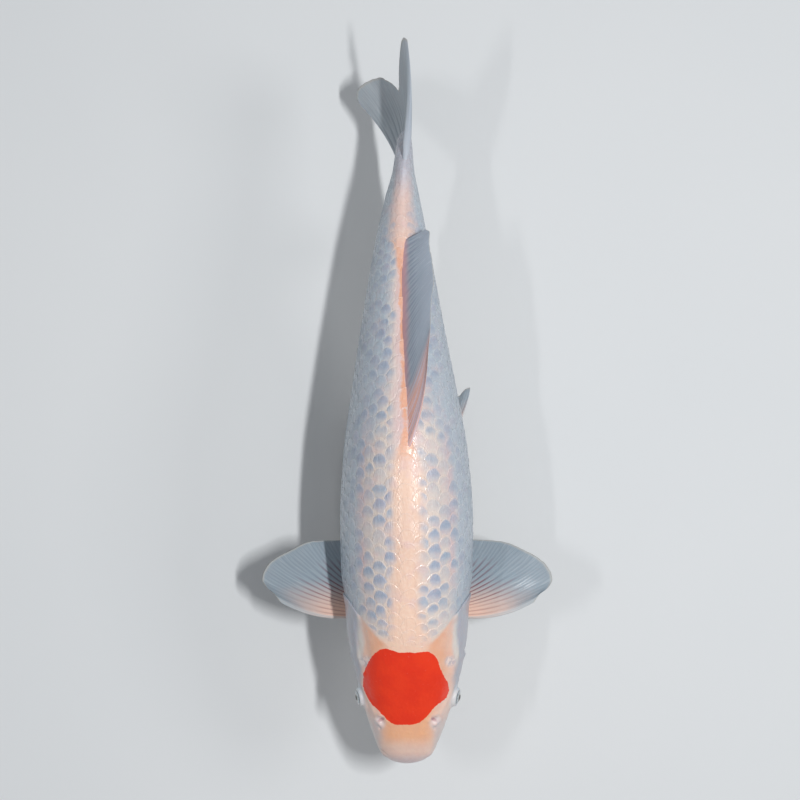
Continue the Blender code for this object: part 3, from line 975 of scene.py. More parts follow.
@dataclass(frozen=True)
class Markings:
    """The fish's colours by their place on the body, shared by skin and scales."""

    blue: str = "ABB8C8"
    blotch: str = "94A6BC"
    flank: str = "BCC9D3"
    warm: str = "E4D6CC"
    peach: str = "F8D2BA"
    rose: str = "E2C3C3"
    belly: str = "E9E3DA"
    muzzle: str = "F7B688"
    snout: str = "F6D3C2"
    shelf: str = "EDB08B"
    stem: str = "BFC3CF"
    fin_line: str = "EBAE8E"
    ridge: str = "E8E3DA"
    cheek: str = "B1B5C1"
    lid: str = "D5E0E6"
    saddle: str = "E6C2AD"  # the back in front of the dorsal fin
    tail_back: str = "E2C3B8"
    flap: str = "E6DDE2"
    slit: str = "A8606A"
    hollow: tuple[str, str] = ("F2E4E0", "C7BEC6")  # behind the eye, in patches
    lip_side: str = "C9CCD2"
    lip_tip: str = "CDC2CC"
    red: str = "F4401F"
    spot_at: tuple[float, float] = (-1.7, 67.0)  # out from the spine's line, from the snout
    # Its outline's corners and hollows: the share of a turn, from the right round the front, and
    # the distance from its middle.
    spot_outline: Pairs = (
        (0, 34.5), (0.07, 31), (0.13, 29), (0.2, 31), (0.25, 30), (0.3, 30.5), (0.4, 28.5),
        (0.48, 35), (0.57, 31.5), (0.64, 34.5), (0.71, 29), (0.77, 28.5), (0.85, 36.5), (0.94, 36),
        (1, 34.5))
    spot_scale: float = 50.0
    spot_stretch: float = 1.055
    spot_ragged: float = 1.6

    def red_spot(self, nodes: ShaderNodes, aside: Value, along: Value) -> Value:
        """The red spot on the head, with a crisp, slightly uneven edge.

        Args:
            nodes: the material's nodes.
            aside: distance out from the spine's line, with the side's sign.
            along: distance from the snout.

        Returns:
            1 inside it and 0 outside.
        """
        x, y = aside - self.spot_at[0], (along - self.spot_at[1]) / self.spot_stretch
        angle = nodes.math("ARCTAN2", y, x) / (2 * math.pi) + 0.5
        points = [(share, radius / self.spot_scale) for share, radius in self.spot_outline]
        edge = nodes.curve(angle, points) * self.spot_scale
        edge = edge + (nodes.noise(420, 3) - 0.5) * self.spot_ragged
        return (edge - x.hypot(y)).rise(-0.12, 0.22)

    def body(self, nodes: ShaderNodes, along: Value, girth: Value, from_tail: Value) -> Value:
        """Colour of the scaled body.

        Args:
            nodes: the material's nodes.
            along: distance from the snout.
            girth: 0 on the back, 1 on the side line, 2 on the belly.
            from_tail: distance behind the end of the flesh.

        Returns:
            The colour.
        """
        girth = girth + (nodes.noise(30, 2) - 0.5) * 0.16
        rear = along.rise(225, 335)
        edge = 0.50 - rear * 0.27
        colour = nodes.mix(girth.rise(edge - 0.13, edge + 0.12), self.warm, self.flank)
        stripe = girth.hump(0.465, 0.09) * along.rise(130, 170) * (1 - rear)
        colour = colour.covered(stripe * nodes.noise(60).rise(0.25, 0.55) * 0.75, self.rose)
        beside_fin = along.rise(240, 275) * along.fall(415, 440)
        wide = 0.20 - beside_fin * 0.158 + along.rise(385, 450) * 0.24 + along.fall(100, 138) * 0.10
        colour = colour.covered(beside_fin * girth.fall(0.05, 0.20) * 0.65, self.rose)
        band = (girth + beside_fin * (nodes.noise(170, 2) - 0.5) * 0.09).fall(wide * 0.35, wide * 1.25)
        warm = nodes.mix(along.hump(195, 75) * 0.6, self.peach, self.saddle)
        warm = warm.covered(along.rise(405, 450), self.tail_back)
        warm = warm.covered(beside_fin * (0.75 + nodes.noise(90) * 0.5), self.fin_line)
        colour = colour.covered(band * 0.95, warm)
        blush = nodes.noise(85, 3).rise(0.48, 0.72) * girth.fall(0.3, 0.9)
        colour = colour.covered(blush * 0.42, self.rose)
        cool = nodes.noise(120, 3).rise(0.5, 0.75) * girth.rise(0.1, 0.3)
        colour = colour.covered(cool * 0.2, self.blue)
        colour = colour.covered(girth.rise(1.25, 1.75), self.belly)
        return colour.covered(from_tail.rise(-46, -14) * 0.9, self.stem)

    def head(self, nodes: ShaderNodes, aside: Value, along: Value, up: Value) -> Value:
        """Colour of the bare head, without the red spot.

        Args:
            nodes: the material's nodes.
            aside: distance out from the spine's line, with the side's sign.
            along: distance from the snout.
            up: height over the body's axis.

        Returns:
            The colour.
        """
        side = abs(aside) + (nodes.noise(55, 2) - 0.5) * 5
        top = up.rise(8, 24)
        colour = nodes.mix(side.rise(34, 41), self.snout, self.cheek)
        shelf = side.hump(24, 17) * along.rise(62, 82) * top * (0.7 + nodes.noise(70).rise(0.3, 0.7) * 0.3)
        colour = colour.covered(shelf, self.shelf)
        muzzle = side.fall(12, 30) * along.rise(13, 27) * along.fall(46, 70)
        colour = colour.covered(muzzle * 0.85, self.muzzle)
        nape = side.fall(8, 22) * along.rise(80, 96)
        colour = colour.covered(nape, self.peach)
        pale = side.hump(38.3, 3.4) * along.rise(80, 92) * top * (1 - along.rise(104, 122) * 0.5)
        colour = colour.covered(pale * 0.85, self.ridge)
        plain = abs(aside)
        flap = (plain - 22.4).hypot((along - 37.0) * 0.75).fall(2.5, 6.5) * top
        colour = colour.covered(flap * 0.55, self.flap)
        slanted = (plain - 21.4) * 0.8 + (along - 39.4) * 0.5
        slit = slanted.hypot(along - 39.4).fall(0.9, 2.3) * top
        colour = colour.covered(slit * 0.7, self.slit)
        hollow = (plain - 34.5).hypot(along - 88).fall(2.0, 6.5) * top
        patchy = nodes.mix(nodes.noise(300, 3).rise(0.4, 0.6), *self.hollow)
        colour = colour.covered(hollow * 0.8, patchy)
        beside = side.rise(18, 26) * along.fall(30, 52) * up.rise(-20, 0)
        colour = colour.covered(beside * 0.55, self.lip_side)
        tip = along.fall(3, 12) * up.rise(-24, -10)
        colour = colour.covered(tip * 0.6, self.lip_tip)
        under = up.fall(-40, -12)
        return colour.covered(under * 0.8, self.belly)


@dataclass(frozen=True)
class SkinFinish:
    """Wet bare skin of the head and of the body under the scales."""

    markings: Markings = Markings()
    mottle: str = "D59A8C"
    fleck: str = "F6EEE8"
    # Mauve-red painted shade for the head's creases and hollows; at the gill opening it is also the
    # lining's own pinkish tone.
    fold: str = "8C4F5B"
    deep_red: str = "E8331D"
    speck: str = "F09A90"
    grain: float = 0.00022  # depth of the fine relief, in metres

    def make(self) -> Material:
        """Make the material.

        Returns:
            The material.
        """
        nodes = ShaderNodes("wet_skin", Coat_Roughness=0.1, Coat_IOR=1.36, Subsurface_Weight=0.12,
                            Subsurface_Scale=0.004, Subsurface_Radius=(1.0, 0.55, 0.4))
        marks = self.markings
        aside, along, up = nodes.fish()
        seam, lid = nodes.attribute("from_seam"), nodes.attribute("lid")
        body = marks.body(nodes, along, nodes.attribute("girth"), nodes.attribute("from_tail"))
        colour = nodes.mix(seam.rise(-1.5, 3.5), marks.head(nodes, aside, along, up), body)
        mottle = nodes.noise(160, 4)
        colour = colour.covered(mottle.rise(0.35, 0.75) * 0.16, self.mottle)
        fleck = nodes.cells(900).fall(0.05, 0.3) * nodes.noise(90).rise(0.45, 0.6)
        colour = colour.covered(fleck * 0.35, self.fleck)
        # Painted shade: the head's creases and hollows darken where folds sink the skin in, and the gill
        # opening also gets its lining's pinkish tone.
        colour = colour.covered(nodes.attribute("fold").rise(0.2, 1.0) * 0.7, self.fold)
        colour = colour.covered(lid * 0.75, marks.lid)
        red = marks.red_spot(nodes, aside, along) * up.rise(0, 10)
        deep = nodes.mix(nodes.noise(75, 3).rise(0.3, 0.7) * 0.5, marks.red, self.deep_red)
        speck = nodes.cells(330).fall(0.02, 0.14) * nodes.noise(140).rise(0.52, 0.6)
        deep = deep.covered(speck * 0.5, self.speck)
        colour = colour.covered(red, deep)
        grain = nodes.noise(1500, 2) * 0.3 + nodes.noise(380, 3) + nodes.noise(95, 2) * 2.2
        return nodes.dress(Base_Color=colour, Roughness=0.24 + mottle * 0.14,
                           Normal=nodes.bump(grain, self.grain),
                           Coat_Weight=0.1 + nodes.noise(30) * 0.25)


@dataclass(frozen=True)
class ScaleFinish:
    """Thin wet scales: on some a translucent blue patch, and everywhere a faint free margin."""

    markings: Markings = Markings()
    lilac: str = "B7B4C6"
    margin: str = "F1EAE6"
    rosy: str = "DDB0AC"
    pale: str = "F4F2F0"
    relief: float = 0.00062  # depth of the fine relief, in metres

    def make(self) -> Material:
        """Make the material. The attribute on_scale runs from -1 at the root to 1 at the free
        margin.

        Returns:
            The material.
        """
        nodes = ShaderNodes("wet_scale", Coat_Roughness=0.2, Coat_IOR=1.33, Coat_Weight=0.03)
        marks = self.markings
        _, along, _ = nodes.fish()
        length, across, _ = nodes.parts(nodes.attribute("on_scale", "Vector"))
        tint, girth = nodes.attribute("tint"), nodes.attribute("girth")
        other, third = (nodes.math("FRACT", tint * spread) for spread in (17.3, 53.7))
        colour = marks.body(nodes, along, girth, nodes.attribute("from_tail"))
        out = length.hypot(across)
        wobble = (nodes.noise(115, 5) - 0.5) * 2.5
        skew = (other - 0.5) * 1.3
        off, wide = (length - 0.38) / 0.50, (across + skew * length) / 0.92
        away = off.hypot(wide) + wobble
        brim = out + wobble * 0.2 - third * 0.2
        fan = (away - third * 0.40).fall(0.66, 1.22) * brim.fall(0.64, 0.86)
        fan = fan * (0.45 + length.rise(-0.1, 0.55) * 0.55)
        zone = (girth + (nodes.noise(45) - 0.5) * 0.20).rise(0.08, 0.18) * girth.fall(1.3, 1.7)
        nape = nodes.attribute("from_seam").rise(-4, 16).at_least(girth.rise(0.12, 0.3) * 0.8)
        zone = zone * along.fall(405, 480) * nape
        haze = girth.rise(0.5, 0.8)
        strength = (0.4 + tint.rise(0.1, 0.6) * 0.6) * (1 - haze * 0.5)
        strength = strength * (0.55 + nodes.noise(26, 1).rise(0.38, 0.58) * 0.45)
        tone = nodes.mix(other * 0.55, marks.blue, self.lilac)
        colour = colour.covered(fan * zone * strength, tone)
        deep = (away + nodes.noise(300, 3) * 0.8).fall(0.60, 1.25) * zone * (1 - haze * 0.6)
        deep = deep * tint.rise(0.15, 0.75) * length.rise(0.0, 0.5) * brim.fall(0.66, 0.82)
        colour = colour.covered(deep * 0.46, marks.blotch)
        margin = out.rise(0.84, 0.95) * length.rise(-0.1, 0.5) * nodes.noise(110).rise(0.30, 0.6)
        colour = colour.covered(margin * (0.17 - haze * 0.08), self.margin)
        vein = (nodes.math("ARCTAN2", across, length + 1.05) * 42).math("SINE") * out.rise(0.2, 0.7)
        mottle = nodes.noise(420, 3)
        colour = colour.covered(mottle.rise(0.45, 0.7) * 0.12, self.rosy)
        colour = colour.covered(mottle.fall(0.32, 0.5) * 0.12, self.pale)
        wet = (0.45 + out.rise(0.3, 0.7) * 0.55) * nodes.noise(70).rise(0.36, 0.48) * girth.rise(0.02, 0.08)
        bead = out.hump(0.90, 0.09) * 0.25 + vein * 0.05
        x, y, z = nodes.parts(nodes.place())
        streaks = nodes.noise(1.0, 2, nodes.joined(x * 300, y * 110, z * 300))
        dapple = streaks + bead + nodes.noise(1100, 2) * 0.12
        return nodes.dress(Base_Color=colour, Roughness=0.58 - wet * 0.37,
                           Normal=nodes.bump(dapple, self.relief))


@dataclass(frozen=True)
class FinFinish:
    """A fin's flesh, rays and web. Bands are shares of the way from root to margin."""

    name: str
    root: str = "E9C3B1"
    web: str = "818E9A"
    ray: str = "97A5AF"
    # Reddish tone between the rays: partly the membrane's own colour, partly painted shade in the grooves.
    groove: str = "83454F"
    edge: str = "C9C5BB"
    flesh_band: tuple[float, float] = (0.32, 1.02)
    flesh_slant: float = 0.85  # how much further the flesh reaches on the leading rays
    groove_band: tuple[float, float, float, float] = (0.06, 0.16, 0.44, 0.68)
    groove_strength: float = 0.85
    groove_width: float = 0.25
    front: str = "C3C9CC"
    front_streak: str = "D6DADB"
    front_width: float = 0.05
    front_share: float = 0.6
    dark: str = "8E9AA5"
    pale: str = "D3DADD"
    # A darker blue-grey patch near the leading tip, used on the left pectoral fin alone.
    smudge: float = 0.0
    smudge_colour: str = "4E5B66"
    grain: float = 0.0002  # depth of the fine relief, in metres

    def make(self) -> Material:
        """Make the material from the attributes ray, reach and across.

        Returns:
            The material.
        """
        nodes = ShaderNodes(self.name, Coat_Roughness=0.12, Coat_IOR=1.36, Subsurface_Weight=0.10,
                            Subsurface_Scale=0.002, Subsurface_Radius=(1.0, 0.6, 0.5))
        reach, across, ray = (nodes.attribute(name) for name in ("reach", "across", "ray"))
        ridge = rib_profile(nodes, ray, reach, nodes.attribute("split"), nodes.attribute("broad"))
        spread = reach + (nodes.noise(70, 2) - 0.5) * 0.14
        thin = reach.rise(0.35, 0.75)
        crest = nodes.step(ridge, 0.2 + thin * 0.45, 0.9 + thin * 0.1)
        colour = nodes.mix(crest.at_least(thin * 0.5), self.web, self.ray)
        streaks = nodes.noise(1.0, 3, nodes.joined(ray * 4.0, reach * 2.5, 0.0))
        colour = colour.covered(streaks.rise(0.4, 0.8) * 0.35, self.dark)
        colour = colour.covered(streaks.fall(0.2, 0.45) * 0.35, self.pale)
        flesh = (spread + across * self.flesh_slant).fall(*self.flesh_band)
        colour = colour.covered(flesh, self.root)
        # Between the rays: the membrane's reddish tone, darkened as painted shade in the grooves.
        start, full, fade, end = self.groove_band
        own = nodes.math("FRACT", (ray.math("ROUND") * 12.99).math("SINE") * 437.58)
        band = spread.rise(start, full) * (spread + own * 0.2 - 0.1).fall(fade, end)
        beside = 0.5 - abs(ray.math("FRACT") - 0.5)
        groove = beside.fall(0.02, self.groove_width) * band * (0.45 + own * 0.55)
        groove = groove * (0.4 + abs(across).rise(0.05, 0.38) * 0.6)
        colour = colour.covered(groove * self.groove_strength, self.groove)
        lead = nodes.attribute("lead").fall(self.front_width * 0.5, self.front_width)
        strands = nodes.noise(1.0, 2, nodes.joined(ray * 5.0, reach * 1.2, 3.0))
        bundle = nodes.mix(strands.rise(0.4, 0.6), self.front, self.front_streak)
        colour = colour.covered(lead * self.front_share, bundle)
        colour = colour.covered(reach.rise(0.965, 1.0) * 0.6, self.edge)
        # The darker patch near the leading tip, on the left pectoral fin alone.
        if self.smudge:
            mark = reach.hump(0.93, 0.05) * across.hump(0.09, 0.05) * self.smudge
            colour = colour.covered(mark, self.smudge_colour)
        joints = (reach * 240).math("SINE") * ridge * 0.07
        return nodes.dress(Base_Color=colour, Roughness=0.60 + nodes.noise(90) * 0.14,
                           Normal=nodes.bump(joints + nodes.noise(420, 3), self.grain),
                           Coat_Weight=0.02 + ridge * 0.03)


@dataclass(frozen=True)
class EyeFinish:
    """A fish's eye: black pupil, thin bright ring, silver iris with a dark rim."""

    pupil: float = 0.36
    iris: float = 0.74
    silver: tuple[str, str] = ("9AA3A8", "C5CED3")
    white: str = "C4C8CA"
    rim: str = "2E2C2A"
    ring: str = "E6DDBE"
    black: str = "0B0B0C"

    def make(self) -> Material:
        """Make the material. The attribute away is 0 on the eye's axis and 1 at the ball's rim.

        Returns:
            The material.
        """
        nodes = ShaderNodes("eye", Coat_Roughness=0.03, Coat_IOR=1.45, Coat_Weight=1.0)
        away = nodes.attribute("away")
        streaks = nodes.noise(700, 4)
        iris = nodes.mix(streaks.rise(0.3, 0.7), *self.silver)
        colour = nodes.mix(away.rise(self.iris - 0.03, self.iris + 0.02), iris, self.white)
        colour = colour.covered(away.hump(self.iris, 0.09) * 0.9, self.rim)
        colour = colour.covered(away.hump(self.pupil + 0.05, 0.05) * 0.7, self.ring)
        colour = colour.covered(away.fall(self.pupil - 0.02, self.pupil + 0.02), self.black)
        shine = away.rise(self.pupil, self.pupil + 0.04) * away.fall(self.iris - 0.05, self.iris)
        return nodes.dress(Base_Color=colour, Roughness=0.32 - shine * 0.06, Metallic=shine * 0.35)


@dataclass(frozen=True)
class PaintedSteel:
    """Satin black paint with a fine orange-peel texture."""

    blacks: tuple[str, str] = ("232426", "2B2C2E")
    texture: float = 0.00004  # in metres

    def make(self) -> Material:
        """Make the material.

        Returns:
            The material.
        """
        nodes = ShaderNodes("stand_paint")
        speckle = nodes.noise(900, 2)
        colour = nodes.mix(nodes.noise(14, 3), *self.blacks)
        return nodes.dress(Base_Color=colour, Roughness=0.38 + speckle * 0.12,
                           Normal=nodes.bump(speckle, self.texture))


@dataclass(frozen=True)
class BrushedSteel:
    """Steel rod, brushed round its axis."""

    greys: tuple[str, str] = ("9B9C9E", "C6C7C9")
    texture: float = 0.00003  # in metres

    def make(self) -> Material:
        """Make the material.

        Returns:
            The material.
        """
        nodes = ShaderNodes("stand_steel", Metallic=1.0)
        x, y, z = nodes.parts(nodes.place())
        lines = nodes.noise(1.0, 3, nodes.joined(x * 120, y * 120, z * 5200))
        colour = nodes.mix(lines, *self.greys)
        return nodes.dress(Base_Color=colour, Roughness=0.22 + lines * 0.2,
                           Normal=nodes.bump(lines, self.texture))


def rib_profile(nodes: Nodes, ray: Value, reach: Value, split: Value, broad: Value) -> Value:
    """Height of a fin's ribs from 0 to 1, in a material as in a geometry tree.

    Args:
        nodes: the tree.
        ray: the ray's number, whole at the grooves between two rays.
        reach: 0 at the root and 1 at the margin.
        split: where along the reach each ray forks in two, and later in four.
        broad: a ray's half width, as a share of the distance between two rays.

    Returns:
        1 on a ray's crest and 0 between rays.
    """
    offset = abs(ray.math("FRACT") - 0.5)
    first = nodes.step(reach, split, split + 0.25)
    second = nodes.step(reach, split + 0.25, split + 0.5)
    offset = abs(abs(offset - first * 0.23) - second * 0.115)
    share = (offset / (broad * (1 - first * 0.45) * (1 - second * 0.4))).at_most(1)
    square = share * share
    return (1 - square) * (1 + square * 0.4)


# ---------------------------------------------------------------- pieces


@dataclass
class Skin:
    """The one skin over head, trunk and tail stem, with the gill openings."""

    form: BodyForm
    blend: TailBlend
    relief: HeadRelief = HeadRelief()
    columns: int = 288
    head_rings: int = 170
    trunk_rings: int = 100
    sunk: float = 0.7  # how far the skin lies under the outer surface of the scales
    # The gill cover's edge in section: distance behind the seam and height over the body.
    gill_edge: Pairs = (
        (-12, 0), (-8.5, 0.35), (-5.5, 0.8), (-3, 1.15), (-1.4, 1.35), (-0.5, 1.3), (0, 1.0),
        (0.15, 0.55), (0, 0.1), (-0.6, -0.45), (-1.3, -0.95), (-1.5, -1.4), (-0.9, -1.7),
        (0.4, -1.7), (2.2, -1.5), (4.6, -1.2), (8, -0.9), (12, -0.73), (16, -0.7))

    def turns(self) -> Array:
        """Spread the columns, closest together where the face has detail.

        Returns:
            Their turns.
        """
        turn = np.linspace(-math.pi / 2, 1.5 * math.pi, 3001)
        density = 1 + 1.2 * np.exp(-((np.arcsin(np.sin(turn)) - 0.25) / 0.6) ** 2)
        total = np.concatenate([[0], np.cumsum((density[1:] + density[:-1]) / 2)])
        return np.interp(np.arange(self.columns) / self.columns, total / total[-1], turn)

    def rings(self, turn: Array) -> tuple[Array, Array]:
        """Place the rings along the body, with the gill cover's edge between head and trunk.

        Args:
            turn: the columns' turns.

        Returns:
            Distance from the snout and height over the body for each ring and column.
        """
        seam, tail = self.form.head_seam(turn), self.form.tail_seam(turn)
        edge = np.array(self.gill_edge)
        at = np.linspace(0, 1, len(edge))
        fine = np.linspace(0, 1, 2 * len(edge) - 1)
        offset, height = (smooth_through(at, edge[:, k], fine)[:, None] for k in (0, 1))
        sin = np.sin(turn)
        gape = (1 - smooth_step(sin, 0.60, 0.72)) * smooth_step(sin, -0.985, -0.9)
        plain = edge[0, 0] + (edge[-1, 0] - edge[0, 0]) * fine[:, None]
        sink = -self.sunk * smooth_step(plain, 0, 12)
        share = np.arange(1, self.head_rings + 1)[:, None] / (self.head_rings + 1)
        share = share ** 2 / (share + 0.12) * 1.12
        behind = np.arange(1, self.trunk_rings + 1)[:, None] / self.trunk_rings
        last = seam + edge[-1, 0]
        along = np.concatenate([
            share * (seam + edge[0, 0]),
            seam + plain * (1 - gape) + offset * gape,
            last + (tail - last) * behind])
        # The scales thin out towards the tail, and the skin comes up to the fin's base.
        end = -self.sunk * (1 - smooth_step(behind, 0.86, 1.0)) * np.ones_like(turn)
        lifted = np.concatenate([np.zeros_like(share) * turn, sink * (1 - gape) + height * gape, end])
        return along, lifted

    def build(self) -> Piece:
        """Build the skin as one closed mesh.

        Returns:
            The piece.
        """
        turn = self.turns()
        along, lifted = self.rings(turn)
        rows = len(along)
        spread = np.broadcast_to(turn, along.shape).ravel()
        flat, lifted = along.ravel(), lifted.ravel()
        base = self.form.surface(flat, spread)
        outwards = self.form.outwards(flat, spread)
        points = base + outwards * lifted[:, None]
        head = flat < self.form.head_seam(spread) + 2
        points[head] = self.relief.shape(self.form, points[head], outwards[head])
        points = self.blend.shape(points, flat, spread)
        fish = self.form.on_fish(base, base[:, 1])
        everything = self.form.place(np.concatenate([points, self.form.surface(0.0, 0.0)[None]]))
        nose = fan_faces(self.columns, 0, len(points))[:, ::-1]
        attributes = {
            "fish": np.concatenate([fish, fish[:1]]),
            "from_seam": np.append(flat - self.form.head_seam(spread), BEFORE_SEAM),
            "from_tail": np.append(flat - self.form.tail_seam(spread), BEFORE_TAIL),
            "girth": np.append(self.form.girth(spread), 1),
            # How deep folds sink the skin, which the finish turns into painted shade in the creases.
            "fold": np.append(self.fold_depth(points, base, outwards, head), 0),
            "lid": np.append(self.lid_share(points), 0),
        }
        faces = [grid_faces(rows, self.columns, True), nose, *self.tail_end((rows - 1) * self.columns)]
        piece = mesh_piece("skin", everything, faces, attributes, SkinFinish().make())
        turn_outwards(piece)
        return piece

    def tail_end(self, last: int) -> list[Array]:
        """Join the left and right halves of the last ring, inside the tail fin.

        Args:
            last: the number of the ring's first point.

        Returns:
            The faces.
        """
        half = self.columns // 2
        ring = np.arange(1, half - 1)
        seam = np.stack([ring, ring + 1, self.columns - ring - 1, self.columns - ring], axis=-1)
        tips = np.array([[0, 1, self.columns - 1], [half - 1, half, half + 1]])
        return [seam + last, tips + last]

    @staticmethod
    def fold_depth(points: Array, base: Array, outwards: Array, head: Array) -> Array:
        """A share from 0 to 1: how deep a fold has moved the skin in, on the head."""
        depth = -np.einsum("ij,ij->i", points - base, outwards)
        return np.where(head, smooth_step(depth, 0.5, 1.8), 0)

    def lid_share(self, points: Array) -> Array:
        """Mark the ring of skin round each eye.

        Args:
            points: points in millimetres.

        Returns:
            1 on the ring and 0 elsewhere, for each point.
        """
        share = np.zeros(len(points))
        for side in Side:
            height, away = from_axis(points, *self.relief.eye.frame(self.form, side))
            share += np.where(height > -7, 1 - smooth_step(away, 7, self.relief.eye.collar), 0)
        return share

    def dress(self) -> Material:
        """Hand the skin over in place of every node of flesh.

        Returns:
            Its material.
        """
        piece = self.build()
        hand_over(piece, Finish.SKIN, "head", "lower_jaw", "upper_lip", "gill_cover_left",
                  "gill_cover_right", "trunk_front", "trunk_middle", "trunk_rear", "tail_stem")
        return piece.data.materials[0]


@dataclass
class Eyes:
    """The two eyeballs, each a flattened ball with a slightly domed lens."""

    form: BodyForm
    eye: EyeForm = EyeForm()
    around: int = 48
    rings: int = 26
    lens_edge: tuple[float, float] = (1.9, 2.8)  # how far from the axis the lens ends

    def build(self, side: Side, material: Material) -> Piece:
        """Build one eyeball.

        Args:
            side: the side of the fish.
            material: its material.

        Returns:
            The piece.
        """
        centre, axis = self.eye.frame(self.form, side)
        across = unit(np.cross(axis, [0, 0, 1.0]))
        over = np.cross(axis, across)
        angle = np.linspace(0, math.pi, self.rings + 2)[1:-1, None]
        top, front = self.eye.radius * self.eye.flatten, np.cos(angle) > 0
        away = self.eye.radius * np.sin(angle)
        lens = self.eye.lens * (1 - smooth_step(away, *self.lens_edge)) * front
        height = top * np.cos(angle) + lens
        rings = centre + away[..., None] * circle(across, over, self.around) + height[..., None] * axis
        poles = np.array([centre + axis * (top + self.eye.lens), centre - axis * top])
        shares = np.where(front, np.sin(angle), 2 - np.sin(angle)) * np.ones(self.around)
        return capped_rings(f"eye_ball_{side.word}", self.form.place(rings), self.form.place(poles),
                            {"away": np.append(shares.ravel(), (0, 2))}, material)

    def dress(self) -> None:
        """Both eyes in place of their nodes."""
        material = EyeFinish().make()
        for side in Side:
            hand_over(self.build(side, material), Finish.EYE, f"eye_{side.word}")


@dataclass(frozen=True)
class ScaleRows:
    """How the scales are spread over the body, in millimetres."""

    pitch: Pairs = (
        (90, 7.5), (108, 9.0), (128, 11.2), (150, 12.4), (250, 12.0), (350, 10.5), (430, 8.6),
        (500, 7.2), (535, 6.2))
    spacing: Pairs = (
        (90, 11.6), (250, 11.8), (310, 10.8), (370, 9.8), (425, 8.6), (480, 7.5), (535, 6.6))
    above: int = 9
    below: int = 9
    on_stem: int = 5  # rows above and below the side line, behind the dorsal fin
    length: float = 1.75  # a scale's length in pitches
    width: float = 1.36  # and its width in row spacings
    relief: Pairs = ((370, 1.0), (430, 0.35))
    jitter: float = 0.055  # how unevenly they are placed and sized, as a share of these
    over_seam: float = -4.0
    before_tail: float = 8.0
    dorsal: tuple[float, float] = (258, 428)


